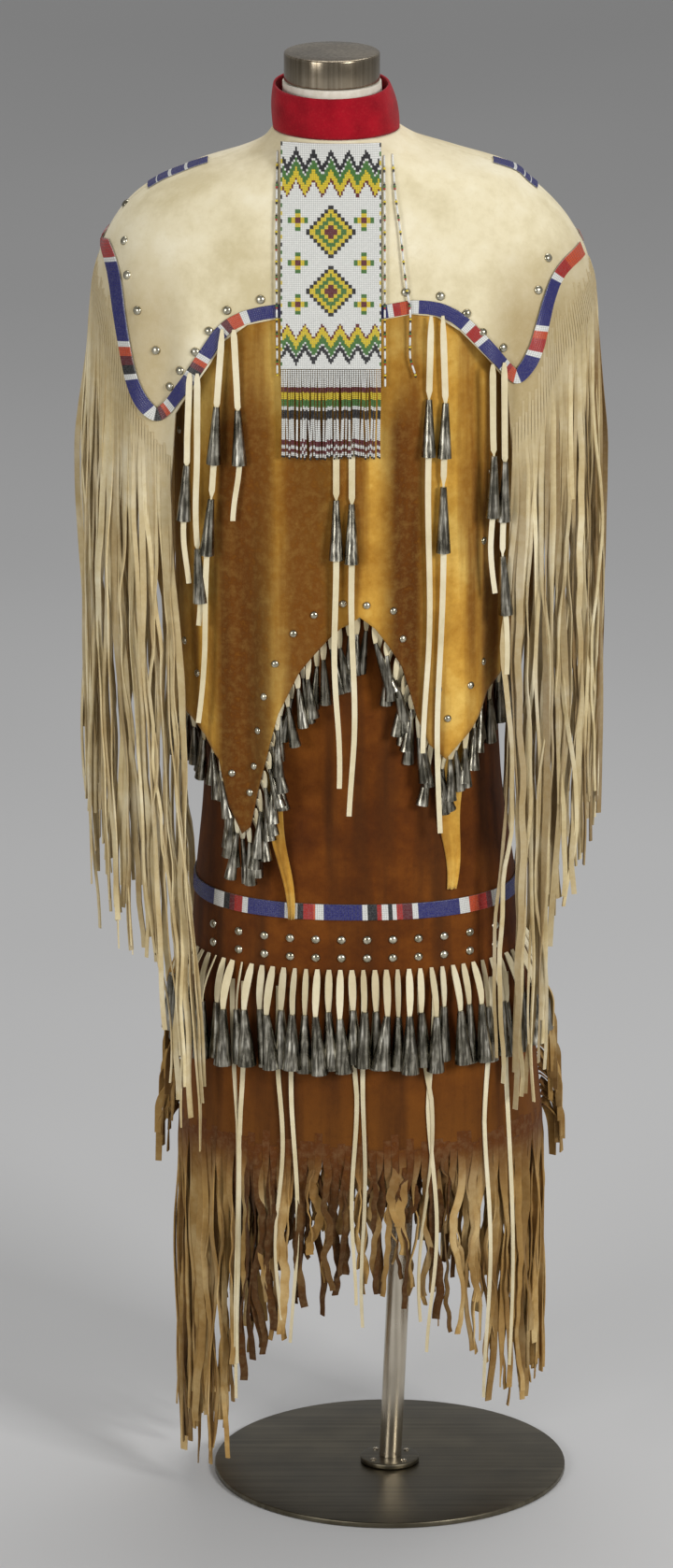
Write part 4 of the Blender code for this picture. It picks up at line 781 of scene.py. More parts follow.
def on_yoke(facing):
    """Points of a ribbon on the yoke: along the path by u, and off it sideways by v, within the panel's ridges."""
    bell = np.exp(-0.5 * (np.arange(-AHEAD_STEPS, AHEAD_STEPS + 1) * PATH_STEP / AHEAD_SOFT) ** 2)
    padded = np.pad(path_ahead, ((AHEAD_STEPS, AHEAD_STEPS), (0, 0)), "edge")
    ahead = unit(np.stack([np.convolve(padded[:, k], bell, "valid") for k in range(2)], 1))

    def at(u, v, out):
        """A place u of the way along the path and v of the way across the ribbon."""
        where = np.asarray(u) * (len(path) - 1)
        x0, z0 = (np.interp(where, np.arange(len(path)), path[:, k]) for k in range(2))
        dx, dz = (np.interp(where, np.arange(len(path)), ahead[:, k]) for k in range(2))
        x = x0 - dz * (np.asarray(v) - 0.5) * BAND_WIDTH
        z = z0 + dx * (np.asarray(v) - 0.5) * BAND_WIDTH
        angle = angle_at(YOKE, x, z, facing)
        low, high = (-math.pi / 2, math.pi / 2) if facing > 0 else (math.pi / 2, 1.5 * math.pi)
        angle = np.clip(angle, low + 0.012, high - 0.012)
        lift = REST + 0.0012 * np.clip(np.abs(x - CAP_CENTRE) / 0.18, 0, 1) ** 2
        return moved(yoke_at, angle, z, lift + out)
    return at


def block_colours(run, blocks):
    """One colour for each place along a band, from the blocks that end beyond it."""
    which = np.searchsorted([b.end for b in blocks], run)
    return np.array([BEAD_COLOURS[blocks[min(k, len(blocks) - 1)].colour] for k in which])


band_rows = int(path_run / BEAD)
for label, facing in HALVES:
    run = (np.arange(band_rows) + 0.5) * path_run / band_rows
    colours = np.repeat(block_colours(run, YOKE_BLOCKS)[:, None], BAND_COLUMNS, 1)
    band = bead_panel("yoke_beads_" + label, on_yoke(facing), colours, beads)
    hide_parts("yoke_band_" + label)

for label, side in SIDES:
    def on_shoulder(u, v, out, side=side):
        """A place u of the way down the strip and v across it, about the shoulder's ridge."""
        z = SHOULDER_TOP + (SHOULDER_LOW - SHOULDER_TOP) * np.asarray(u)
        reach = (np.asarray(v) - 0.5) * SHOULDER_DEEP
        angle = side * math.pi / 2 + side * reach / column(YOKE, "front", z)
        return moved(yoke_at, angle, z, REST + out)
    rows = int(SHOULDER_LONG / BEAD)
    run = (np.arange(rows) + 0.5) / rows
    colours = np.repeat(block_colours(run, SHOULDER_BLOCKS)[:, None], SHOULDER_COLUMNS, 1)
    strip = bead_panel("shoulder_beads_" + label, on_shoulder, colours, beads, backing=5)
    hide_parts("shoulder_band_" + label)


# ---------------------------------------------------------------- golden overlay
# A tunic of golden buckskin under the yoke, front and back, cut to two long points with an arch between them.
# The hide is darker and redder down its middle, and deep folds fall from the yoke to each point. Its valleys are
# painted darker too, partly stain and partly painted shade, less so just under the yoke.
BODICE_TOP, ARMHOLE_DROP = 1.345, 0.090
BODICE = [
    Section(1.345, -0.0505, 0.1740, 0.1316, 0.1238, 3.20),
    Section(1.310, -0.0500, 0.1770, 0.1362, 0.1284, 3.20),
    Section(1.250, -0.0500, 0.1780, 0.1395, 0.1315, 3.10),
    Section(1.100, -0.0500, 0.1780, 0.1480, 0.1370, 2.70),
    Section(1.000, -0.0495, 0.1780, 0.1530, 0.1420, 2.50),
    Section(0.880, -0.0495, 0.1785, 0.1560, 0.1450, 2.40),
    Section(0.740, -0.0495, 0.1780, 0.1570, 0.1460, 2.40),
]
BODICE_FOLDS = [
    Fold(-0.179, 0.015, 0.0060, 1.24, 0.34),
    Fold(-0.152, 0.014, -0.0035, 1.20, 0.34),
    Fold(-0.125, 0.016, 0.0065, 1.24, 0.34),
    Fold(-0.060, 0.022, -0.0030, 1.15, 0.25),
    Fold(-0.018, 0.020, 0.0040, 1.15, 0.20),
    Fold(0.021, 0.017, -0.0060, 1.20, 0.26),
    Fold(0.079, 0.018, 0.0080, 1.24, 0.30),
    Fold(0.104, 0.010, -0.0040, 1.16, 0.20),
]
BODICE_SIDE_ENDS = (0.880, 0.930)
BODICE_EDGE = [
    Edge(-0.223, 0.878), Edge(-0.210, 0.872), Edge(-0.195, 0.859), Edge(-0.178, 0.838), Edge(-0.169, 0.788),
    Edge(-0.158, 0.758), Edge(-0.150, 0.766), Edge(-0.141, 0.807), Edge(-0.129, 0.848), Edge(-0.117, 0.895),
    Edge(-0.097, 0.939), Edge(-0.072, 0.969), Edge(-0.052, 0.988), Edge(-0.034, 1.000), Edge(-0.018, 0.988),
    Edge(-0.004, 0.969), Edge(0.012, 0.944), Edge(0.020, 0.919), Edge(0.028, 0.888), Edge(0.040, 0.858),
    Edge(0.056, 0.841), Edge(0.068, 0.857), Edge(0.085, 0.879), Edge(0.102, 0.904), Edge(0.118, 0.922),
]


def bodice_at(angle, z):
    """The overlay's outer face: its rings, pushed out by its folds."""
    return ring(BODICE, BODICE_FOLDS, angle, z)


Tone = namedtuple("Tone", "x share")
OVERLAY_STAIN_AND_FOLD_SHADE = [
    Tone(-0.215, 0.50), Tone(-0.200, 0.00), Tone(-0.188, 0.00), Tone(-0.177, 0.95), Tone(-0.160, 1.00),
    Tone(-0.130, 0.85), Tone(-0.117, 0.40), Tone(-0.103, 0.85), Tone(-0.070, 0.85), Tone(-0.045, 0.20),
    Tone(-0.020, 0.05), Tone(-0.006, 0.60), Tone(0.006, 1.00), Tone(0.024, 1.00), Tone(0.037, 0.40),
    Tone(0.050, 0.00), Tone(0.088, 0.05), Tone(0.102, 0.55), Tone(0.114, 0.10), Tone(0.125, 0.35),
]
GOLDEN = Dye(paint(168, 116, 36), paint(206, 156, 64), paint(236, 198, 106), paint(84, 42, 5))
golden_hide = hide("golden_buckskin", GOLDEN, streaks=paint(110, 62, 14), crease=0.0022)
for label, facing in HALVES:
    angles, lows = panel_columns(BODICE, BODICE_EDGE, BODICE_SIDE_ENDS, facing, 150)
    tops = BODICE_TOP - ARMHOLE_DROP * np.abs(np.sin(angles)) ** 4
    grid = bodice_at(angles[None, :], tops + (lows - tops) * np.linspace(0, 1, 64)[:, None])
    grid = part_at_ridge(grid, facing, 0.0003)
    overlay = shell("golden_overlay_" + label, grid, 0.0018, golden_hide)
    # Darker in the fold valleys, partly stain and partly painted shade; the darkening is weaker just under the yoke.
    under_yoke = np.clip((1.30 - grid[..., 2]) / 0.10, 0.45, 1)
    mark_points(overlay, smooth_column(grid[..., 0], *np.array(OVERLAY_STAIN_AND_FOLD_SHADE).T) * under_yoke)
    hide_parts("bodice_" + label)


Tab = namedtuple("Tab", "name top_x top_z tip_x tip_z width")
TABS = [
    Tab("bodice_tab_left", -0.133, 0.888, -0.107, 0.664, 0.016),
    Tab("bodice_tab_right", 0.062, 0.905, 0.062, 0.692, 0.028),
]
for tab in TABS:
    t = np.linspace(0, 1, 48)[:, None]
    v = np.linspace(-1, 1, 9)[None, :]
    drop = (tab.top_z - tab.tip_z) * t
    z = tab.top_z - drop
    half = tab.width * (0.5 - 0.36 * np.clip(t - 0.5, 0, 1) * 2)
    curl = 0.004 * np.sin(9 * t) * t
    x = tab.top_x + (tab.tip_x - tab.top_x) * t + half * v + curl
    above = np.maximum(z, 0.80) + 0 * x
    behind = np.interp(drop, [0, 0.013, 0.055], [0.0008, 0.0070, 0.0178])
    place = moved(bodice_at, angle_at(BODICE, x, above, 1), above, -HIDE - REST - behind - 0.0006)
    place[..., 0] = x
    place[..., 1] -= 0.0015 * np.cos(1.5 * math.pi * v) * t + 0.002 * np.sin(14 * t) * t
    place[..., 2] = z + 0 * x
    leg = shell("golden_" + tab.name.removeprefix("bodice_"), place, 0.0014, golden_hide)
    mark_points(leg, 0 * x)
    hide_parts(tab.name)
    wide, long = tab.width + 0.001, tab.top_z - tab.tip_z + 0.01


# ---------------------------------------------------------------- skirt
# Rust-brown buckskin, a front and a back joined at the sides and caught up inside the overlay. The suede is browner
# above and more golden toward the hem, where it is cut into fringe.
SKIRT_TOP, SKIRT_SEAM, SKIRT_BLEND, SKIRT_EDGE = 1.052, 1.036, 0.034, 0.405
SKIRT = [
    Section(1.052, -0.0480, 0.1620, 0.1340, 0.1240, 2.40),
    Section(0.970, -0.0460, 0.1570, 0.1320, 0.1220, 2.35),
    Section(0.900, -0.0440, 0.1550, 0.1310, 0.1220, 2.30),
    Section(0.800, -0.0410, 0.1570, 0.1310, 0.1230, 2.30),
    Section(0.660, -0.0370, 0.1720, 0.1330, 0.1260, 2.30),
    Section(0.500, -0.0330, 0.1870, 0.1370, 0.1300, 2.30),
    Section(0.405, -0.0320, 0.1950, 0.1380, 0.1320, 2.30),
]
SKIRT_FOLDS = [
    Fold(-0.150, 0.018, 0.0030, 0.62, 0.20),
    Fold(-0.095, 0.018, -0.0030, 0.62, 0.20),
    Fold(0.005, 0.020, 0.0030, 0.60, 0.18),
    Fold(0.070, 0.020, -0.0030, 0.62, 0.20),
]


def skirt_at(angle, z):
    """The skirt's own rings, which rise into the seam just inside the overlay."""
    own = ring(SKIRT, SKIRT_FOLDS, angle, z)
    seam = moved(bodice_at, angle, z, -HIDE - REST)
    share = np.clip((own[..., 2:] - SKIRT_SEAM) / SKIRT_BLEND + 1, 0, 1)
    share = share * share * (3 - 2 * share)
    return own + (seam - own) * share


RUST = Dye(paint(72, 34, 8), paint(96, 49, 10), paint(122, 68, 18), paint(112, 68, 22))
rust_hide = hide("rust_buckskin", RUST, streaks=paint(70, 38, 12), crease=0.0014)
for label, facing in HALVES:
    start = -facing * math.pi / 2
    angles = np.linspace(start, start + math.pi, 130)
    heights = np.linspace(SKIRT_TOP, SKIRT_EDGE, 76)[:, None]
    grid = part_at_ridge(skirt_at(angles[None, :], heights), facing, 0.0004)
    panel = shell("rust_skirt_" + label, grid, 0.0018, rust_hide)
    mark_points(panel, 0.70 * np.clip((0.54 - grid[..., 2]) / 0.11, 0, 1))
    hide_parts("skirt_" + label)


# ---------------------------------------------------------------- hem and side fringe of the skirt
# The skirt's lower edge is cut into strips that hang to points at the sides and rise between them, and its side
# seams carry short cut tabs that stand out.
HEM_STRIPS = 66
HEM_TIPS = [
    Edge(-0.240, 0.070), Edge(-0.222, 0.040), Edge(-0.205, 0.034), Edge(-0.188, 0.050), Edge(-0.175, 0.095),
    Edge(-0.158, 0.171), Edge(-0.120, 0.200), Edge(-0.102, 0.208), Edge(-0.088, 0.228), Edge(-0.048, 0.258),
    Edge(-0.011, 0.260), Edge(0.033, 0.238), Edge(0.069, 0.198), Edge(0.090, 0.170), Edge(0.108, 0.125),
    Edge(0.134, 0.112), Edge(0.159, 0.113), Edge(0.170, 0.150),
]
# Painted shade: the inner layer, behind the outer one and seen in its gaps, goes further toward the dark nap than the
# outer layer.
Layer = namedtuple("Layer", "name lift ends seed dark")
HEM_LAYERS = [
    Layer("outer", -0.0005, 0.008, 71, 0.35),
    Layer("inner", -0.0032, 0.014, 80, 1.0),
]
HEM_DYE = Dye(paint(146, 108, 54), paint(178, 142, 84), paint(214, 188, 136), paint(70, 40, 14))
hem_hide = hide("hem_buckskin", HEM_DYE, cut_from=Dye(RUST.deep, RUST.deep, RUST.middle, RUST.middle), cut_tone=0.6)
for label, facing in HALVES:
    start = -facing * math.pi / 2
    for layer in HEM_LAYERS:
        rng = np.random.default_rng(layer.seed + facing)
        ridge_to_ridge = np.linspace(start + 0.005, start + math.pi - 0.005, 400)
        level = skirt_at(ridge_to_ridge, SKIRT_EDGE) * np.array([1.0, 1.0, 0.0])
        roots, across, pitch = spaced(level, HEM_STRIPS, layer.ends)
        angle = values_along(level, ridge_to_ridge, HEM_STRIPS, layer.ends)
        edge = np.full(HEM_STRIPS, SKIRT_EDGE)

        def line(z, angle=angle, lift=layer.lift):
            """The strips' places at these heights: on the skirt down to its edge, then straight down."""
            place = moved(skirt_at, angle[:, None], np.maximum(z, SKIRT_EDGE), lift)
            return np.stack([place[..., 0], place[..., 1], z], -1)
        starts = edge + (rng.uniform(0.002, 0.022, HEM_STRIPS) if layer.name == "outer" else 0.004)
        tips = edge_at(HEM_TIPS, roots[:, 0])
        tips = tips + np.where(rng.uniform(0, 1, HEM_STRIPS) < 0.3, rng.uniform(0.02, 0.08, HEM_STRIPS), 0)
        tips = np.maximum(tips + rng.uniform(-0.014, 0.030, HEM_STRIPS), 0.018)
        clump = clumped(rng, HEM_STRIPS, 4.3) * pitch
        drift = across * (rng.normal(0, 0.008, (HEM_STRIPS, 1)) + 0.5 * clump[:, None])
        drift = drift * (SKIRT_EDGE - tips[:, None]) / 0.35
        browner = 1 - np.clip((np.abs(roots[:, :1] + 0.045) - 0.105) / 0.03, 0, 1)
        piece = fringe(
            f"hem_strips_{label}_{layer.name}", line, starts, edge, tips, across,
            (0.49 * pitch, rng.uniform(0.0028, 0.0060, HEM_STRIPS)), rng.uniform(-0.006, 0.003, HEM_STRIPS), drift, rng,
            hem_hide, wave=0.0036, kink=0.0008, dark=layer.dark + 1.5 * browner,
        )
        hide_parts("hem_fringe_" + label)

SIDE_STRIPS = 26
for label, side in SIDES:
    rng = np.random.default_rng(83 + side)
    heights = np.linspace(0.590, 0.414, SIDE_STRIPS)
    root = skirt_at(np.full(SIDE_STRIPS, side * math.pi / 2), heights)
    root[:, 0] += side * 0.0006
    root[:, 1] = 0.0
    t = np.linspace(0, 1, 14)[None, :]
    long = rng.uniform(0.045, 0.078, (SIDE_STRIPS, 1))
    stand = rng.uniform(0.008, 0.024, (SIDE_STRIPS, 1))
    x = side * (stand * np.sin(0.5 * math.pi * np.clip(1.5 * t, 0, 1)) + 0.04 * long * t)
    y = rng.normal(0, 0.010, (SIDE_STRIPS, 1)) * t
    centre = root[:, None, :] + np.stack([x, y, -long * (0.35 * t + 0.65 * t**1.6)], -1)
    twist = rng.uniform(-1.4, 1.4, (SIDE_STRIPS, 1)) + 0.9 * t
    half = rng.uniform(0.0034, 0.0056, (SIDE_STRIPS, 1)) * (1 - 0.3 * t)
    across = np.array([0.0, 1.0, 0.0])
    tabs = flat_strips("side_strips_" + label, centre, across, half, 0.0014, twist, hem_hide)
    mark_points(tabs, rng.beta(0.8, 1.8, (SIDE_STRIPS, 1)) + 0 * t, corners=4)
    mark_points(tabs, np.clip(1 - 5 * t, 0, 1) + 0 * long, "cut", corners=4)
    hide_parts("side_fringe_" + label)


# ---------------------------------------------------------------- tin cones on short thongs
# Jingle cones rolled from dark tin, each on its own cream thong: small ones round the overlay's edge, and a close
# row of large ones on the skirt. A cone is open at its mouth, and its rolled seam stands up a little.
CONE_CORNERS = 12
tin = new_material("rolled_tin", 0.3, metallic=1.0)
smoke = tin.noise(60.0, 5.0)
scratch = tin.noise((420, 420, 14), 3.0)
dulled = tin.ramp(smoke, (0.34, paint(122, 118, 104)), (0.52, paint(168, 163, 148)), (0.70, paint(216, 212, 198)))
tin.fit(
    Base_Color=tin.mix(tin.ramp(scratch, (0.42, grey(0.80)), (0.58, grey(0.0))), dulled, paint(60, 56, 48)),
    Roughness=tin.ramp(smoke, (0.3, grey(0.22)), (0.7, grey(0.38))),
    Normal=tin.bump(scratch, 0.00008),
)


def cone_rings(top, axis, long, neck, mouth, spin):
    """Rolled cones: a circle about the axis widening from neck to mouth, its radius 8 % larger at the seam,

    then the same circles inside, a wall's thickness smaller, part of the way back up.
    """
    axis = unit(axis)
    first = unit(np.cross(axis, np.broadcast_to([0.0, 1.0, 0.02], axis.shape)))
    second = np.cross(axis, first)
    share = np.array([0.0, 0.35, 0.7, 1.0, 1.0, 0.7, 0.3])
    thin = np.array([0, 0, 0, 0, 0.0006, 0.0006, 0.0006])
    angle = np.linspace(0, 2 * math.pi, CONE_CORNERS, endpoint=False)
    radius = (neck[:, None] + (mouth - neck)[:, None] * share - thin)[:, :, None] * (1 + 0.08 * angle / (2 * math.pi))
    turn = angle[None, None, :] + spin[:, None, None]
    centre = top[:, None, :] + axis[:, None, :] * (long[:, None] * share)[..., None]
    return (centre[:, :, None, :] + first[:, None, None, :] * (radius * np.cos(turn))[..., None]
            + second[:, None, None, :] * (radius * np.sin(turn))[..., None])


def cones_on_thongs(name, roots, across, out_hang, thong, wide_by, long, neck, mouth, lean, rng):
    """Two pieces: short flat thongs from their roots down, and a cone at the end of each, leaning a little."""
    count = len(roots)
    out = np.cross(DOWN, across)
    axis = DOWN + across * rng.normal(0, lean, (count, 1)) + out * rng.normal(0, lean * 0.4, (count, 1))
    neck_at = roots + DOWN * thong[:, None] + out * out_hang[:, None] + across * rng.normal(0, 0.0012, (count, 1))
    t = np.linspace(0, 1, 7)[None, :, None]
    ease = np.sin(0.5 * math.pi * t)
    centre = roots[:, None, :] * (1 - t) + neck_at[:, None, :] * t
    centre = centre + out[:, None, :] * (out_hang[:, None, None] * (ease - t))
    centre = np.concatenate([centre, neck_at[:, None, :] + unit(axis)[:, None, :] * 0.004], 1)
    half = rng.uniform(*wide_by, (count, 1)) * np.array([0.55, 0.9, 1.0, 1.0, 0.95, 0.8, 0.6, 0.3])[None, :]
    twist = rng.normal(0, 0.35, (count, 1))
    strips = flat_strips(name + "_thongs", centre, across[:, None], half, 0.0013, twist, cream_hide)
    mark_points(strips, rng.uniform(0, 0.5, (count, 1)) + 0 * half, corners=4)
    rings = cone_rings(neck_at, axis, long, neck, mouth, rng.uniform(0, 6.28, count))
    return strips, tubes(name, rings, tin.material, smooth=50.0)


SMALL_CONES, LARGE_CONES = 78, 42
for label, facing in HALVES:
    rng = np.random.default_rng(97 + facing)
    angles, lows = panel_columns(BODICE, BODICE_EDGE, BODICE_SIDE_ENDS, facing, 260)
    inside = slice(3, -3)
    line = moved(bodice_at, angles[inside], lows[inside] + 0.004, -0.0034)
    roots, across, _ = spaced(line, SMALL_CONES)
    hang = -0.0030 - 0.0055 * (np.arange(SMALL_CONES) % 2)
    thong = rng.uniform(0.016, 0.026, SMALL_CONES)
    strips, cones = cones_on_thongs(
        "overlay_cones_" + label, roots, across, hang, thong, (0.0026, 0.0036), rng.uniform(0.042, 0.052, SMALL_CONES),
        np.full(SMALL_CONES, 0.0020), rng.uniform(0.0060, 0.0070, SMALL_CONES), 0.13, rng,
    )
    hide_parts("bodice_cones_" + label)

    start = -facing * math.pi / 2
    line = moved(skirt_at, np.linspace(start + 0.03, start + math.pi - 0.03, 160), 0.6085, REST + 0.0010)
    roots, across, _ = spaced(line, LARGE_CONES)
    hang = 0.0085 + 0.0075 * (np.arange(LARGE_CONES) % 2) + 0.004 * np.abs(np.cross(DOWN, across)[:, 0])
    strips, cones = cones_on_thongs(
        "skirt_cones_" + label + "_rolled", roots, across, hang, rng.uniform(0.041, 0.050, LARGE_CONES),
        (0.0030, 0.0042), rng.uniform(0.058, 0.064, LARGE_CONES), np.full(LARGE_CONES, 0.0034),
        rng.uniform(0.0092, 0.0104, LARGE_CONES), 0.07, rng,
    )
    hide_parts("skirt_cones_" + label)


# ---------------------------------------------------------------- skirt bead band and long thongs
# A bead band 18 mm wide runs round the skirt, in the same blocks as the yoke's. Below the cones, pairs of long cream
# thongs are tied through the hide and hang over the skirt and its fringe.
SKIRT_BAND_LOW, SKIRT_BAND_HIGH, SKIRT_BAND_ROWS, SKIRT_BAND_COLUMNS = 0.6627, 0.6803, 258, 9
LONG_THONGS_TOP = 0.588
SKIRT_BLOCKS = [
    Block(-0.186, "b"), Block(-0.176, "w"), Block(-0.170, "k"), Block(-0.164, "d"), Block(-0.157, "r"),
    Block(-0.150, "w"), Block(-0.112, "b"), Block(-0.099, "w"), Block(-0.092, "k"), Block(-0.082, "r"),
    Block(-0.079, "o"), Block(-0.071, "w"), Block(-0.030, "b"), Block(-0.024, "w"), Block(-0.016, "k"),
    Block(-0.010, "r"), Block(-0.004, "w"), Block(0.001, "k"), Block(0.006, "w"), Block(0.012, "r"),
    Block(0.022, "d"), Block(0.028, "w"), Block(0.072, "b"), Block(0.082, "w"), Block(0.092, "o"),
    Block(0.100, "r"), Block(0.106, "d"), Block(0.112, "w"), Block(0.150, "b"),
]
LONG_THONGS = [
    Edge(-0.168, 0.120), Edge(-0.156, 0.160), Edge(-0.119, 0.215), Edge(-0.104, 0.190), Edge(-0.042, 0.235),
    Edge(-0.029, 0.210), Edge(0.030, 0.215), Edge(0.046, 0.180), Edge(0.106, 0.120), Edge(0.122, 0.150),
]
for label, facing in HALVES:
    start = -facing * math.pi / 2

    def on_skirt(u, v, out, start=start):
        """A place u of the way round the half and v of the way up the band."""
        angle = start + 0.02 + (math.pi - 0.04) * np.asarray(u)
        z = SKIRT_BAND_LOW + (SKIRT_BAND_HIGH - SKIRT_BAND_LOW) * np.asarray(v)
        return moved(skirt_at, angle, z, REST + out)
    row_angles = start + 0.02 + (math.pi - 0.04) * (np.arange(SKIRT_BAND_ROWS) + 0.5) / SKIRT_BAND_ROWS
    row_colours = block_colours(skirt_at(row_angles, 0.67)[:, 0], SKIRT_BLOCKS)
    colours = np.repeat(row_colours[:, None], SKIRT_BAND_COLUMNS, 1)
    band = bead_panel("skirt_beads_" + label, on_skirt, colours, beads)
    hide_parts("skirt_band_" + label)

    rng = np.random.default_rng(103 + facing)
    top_x, tip_z = np.array(LONG_THONGS).T
    t = np.linspace(0, 1, STRIP_STATIONS)[None, :]
    z = LONG_THONGS_TOP + (tip_z[:, None] - LONG_THONGS_TOP) * t
    above = np.maximum(z, SKIRT_EDGE)
    x = top_x[:, None] + waves(rng, len(top_x), t, 0.004, 1.2)
    on = moved(skirt_at, angle_at(SKIRT, x, above, facing), above, REST + 0.0016)
    y = np.maximum.accumulate(-facing * on[..., 1], axis=1)
    centre = np.stack([x, -facing * y, z], -1)
    twist = waves(rng, len(top_x), t, 0.35, 0.8)
    half = 0.0027 * (1 - 0.4 * t)
    across = np.array([facing, 0.0, 0.0])
    thongs = flat_strips("long_strips_" + label, centre, across, half, 0.0012, twist, cream_hide)
    mark_points(thongs, rng.uniform(0, 0.4, (len(top_x), 1)) + 0.2 * t, corners=4)
    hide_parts("long_thongs_" + label)


# ---------------------------------------------------------------- thong drops with cones
# Pairs of flat cream thongs tied through the front at the yoke's edge, and one pair behind the bib, with tin cones
# slid on at two heights.
Drop = namedtuple("Drop", "node x top spread lift thongs")
Thong = namedtuple("Thong", "slip tip cones")
Cone = namedtuple("Cone", "slip top bottom")
DROPS = [
    Drop("drop_left_outer", -0.206, 1.252, 0.0040, 0.0052, [
        Thong(-0.004, 1.030, [Cone(-0.004, 1.157, 1.098)]),
        Thong(-0.001, 0.985, [Cone(-0.001, 1.068, 1.010)]),
    ]),
    Drop("drop_left_pair", -0.170, 1.300, 0.0061, 0.0052, [
        Thong(-0.028, 0.880, [Cone(-0.006, 1.221, 1.160), Cone(-0.011, 1.122, 1.062)]),
        Thong(0.002, 1.100, [Cone(0.004, 1.218, 1.160)]),
    ]),
    Drop("drop_right_pair", 0.046, 1.315, 0.0061, 0.0052, [
        Thong(-0.004, 0.850, [Cone(-0.002, 1.230, 1.170)]),
        Thong(-0.002, 0.762, [Cone(0.003, 1.226, 1.168), Cone(0.001, 1.137, 1.067)]),
    ]),
    Drop("drop_right_outer", 0.110, 1.262, 0.0061, 0.0067, [
        Thong(0.003, 1.020, [Cone(0.001, 1.168, 1.102)]),
        Thong(0.001, 0.930, [Cone(0.001, 1.160, 1.096), Cone(0.001, 1.058, 0.995)]),
    ]),
    Drop("drop_centre", -0.050, 1.185, 0.0081, 0.0016, [
        Thong(0.0, 0.815, [Cone(0.0, 1.125, 1.062)]),
        Thong(0.0, 0.785, [Cone(0.0, 1.121, 1.058)]),
    ]),
]
DROP_NECK, DROP_MOUTH, DROP_BULGE = 0.0032, 0.0076, 0.0062
for number, drop in enumerate(DROPS):
    rng = np.random.default_rng(120 + number)
    surface, sections = (bodice_at, BODICE) if drop.node == "drop_centre" else (yoke_at, YOKE)
    paths, cones = [], []
    for sign, thong in zip((-1, 1), drop.thongs):
        x0 = drop.x + sign * drop.spread
        z = np.linspace(drop.top + 0.004, thong.tip, 60)
        share = (drop.top - z) / (drop.top - thong.tip)
        knots_z = [thong.tip] + [cone.top for cone in thong.cones][::-1] + [drop.top]
        knots_x = [thong.slip] + [cone.slip for cone in thong.cones][::-1] + [0.0]
        sway = 0.0036 * np.sin(8 * share + 1.9 * number + sign) * np.clip(2 * share - 0.6, 0, 1)
        x = x0 + np.interp(z, knots_z, knots_x) + sway
        low = np.maximum(z, edge_at(BODICE_EDGE, x))
        y = -moved(bodice_at, angle_at(BODICE, x, low, 1), low, 0.0020)[:, 1]
        bulge = np.zeros(len(z))
        for cone in thong.cones:
            near = np.clip(1 - np.abs(z - cone.bottom) / (cone.top - cone.bottom + 0.02), 0, 1)
            bulge = np.maximum(bulge, DROP_BULGE * near)
        root_y = -moved(surface, angle_at(sections, x0, drop.top, 1), drop.top, drop.lift)[1]
        y = np.maximum.accumulate(np.maximum(y + bulge, root_y - 0.012 * share))
        centre = np.stack([x, -y, z], -1)
        paths.append(centre)
        for cone in thong.cones:
            ends = [[np.interp(-height, -z, centre[:, k]) for k in range(3)] for height in (cone.top, cone.bottom)]
            neck_at, mouth_at = np.array(ends)
            cones.append((neck_at, mouth_at - neck_at, cone.top - cone.bottom))
    centre = np.stack(paths)
    half = 0.0034 - 0.0008 * np.linspace(0, 1, centre.shape[1])[None, :] + 0 * centre[..., 0]
    half[:, :4] *= np.array([0.45, 0.75, 0.92, 1.0])
    for row, thong in enumerate(drop.thongs):
        for cone in thong.cones:
            in_cone = (centre[row, :, 2] < cone.top + 0.003) & (centre[row, :, 2] > cone.bottom + 0.012)
            half[row] = np.where(in_cone, 0.0011, half[row])
    twist = rng.normal(0, 0.15, (2, 1))
    across = np.array([1.0, 0.0, 0.0])
    strips = flat_strips(drop.node.replace("drop", "drop_thongs"), centre, across, half, 0.0013, twist, cream_hide)
    mark_points(strips, np.full(half.shape, 0.12), corners=4)
    tops, axes, longs = (np.array(values) for values in zip(*cones))
    count = len(cones)
    rings = cone_rings(
        tops, axes, longs, np.full(count, DROP_NECK), np.full(count, DROP_MOUTH), rng.uniform(0, 6.28, count)
    )
    rolled = tubes(drop.node.replace("drop", "drop_cones"), rings, tin.material, smooth=50.0)
    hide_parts(drop.node)


# ---------------------------------------------------------------- red stand collar
# A band of felted red wool cloth, standing round the neck and dipping a little in front, with its ends at the back.
COLLAR = [
    Section(1.540, -0.0635, 0.0600, 0.0600, 0.0600, 2.0),
    Section(1.488, -0.0580, 0.0660, 0.0660, 0.0660, 2.0),
]


def collar_at(angle, z):
    """The collar's outer face: its rings, without folds."""
    return ring(COLLAR, [], angle, z)


COLLAR_TOP, COLLAR_DIP, COLLAR_OPENING = 1.5345, 0.004, math.radians(2.0)
wool = new_material("felted_red_wool", 0.92, sheen=0.10, specular=0.15)
lint = wool.noise(420.0, 5.0, 0.7)
worn = wool.noise(34.0, 4.0)
red = wool.ramp(worn, (0.35, paint(134, 2, 22)), (0.65, paint(162, 10, 30)))
wool.fit(
    Base_Color=wool.mix(wool.ramp(lint, (0.50, grey(0.0)), (0.80, grey(0.25))), red, paint(200, 62, 60)),
    Normal=wool.bump(lint, 0.0004, wool.bump(worn, 0.0010)),
)
angles = np.linspace(-math.pi + COLLAR_OPENING, math.pi - COLLAR_OPENING, 160)[None, :]
t = np.linspace(0, 1, 16)[:, None]
top = COLLAR_TOP - COLLAR_DIP * np.cos(angles)
heights = top + (NECK + SEAM_GAP - top) * t
puff = 0.0010 * np.sin(7 * angles + 2.0) * np.sin(math.pi * t) + 0.0022 * np.sin(math.pi * t) ** 0.8
grid = moved(collar_at, angles, heights, puff)
collar = shell("wool_collar", grid, 0.0024, wool.material)
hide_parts("collar_band")


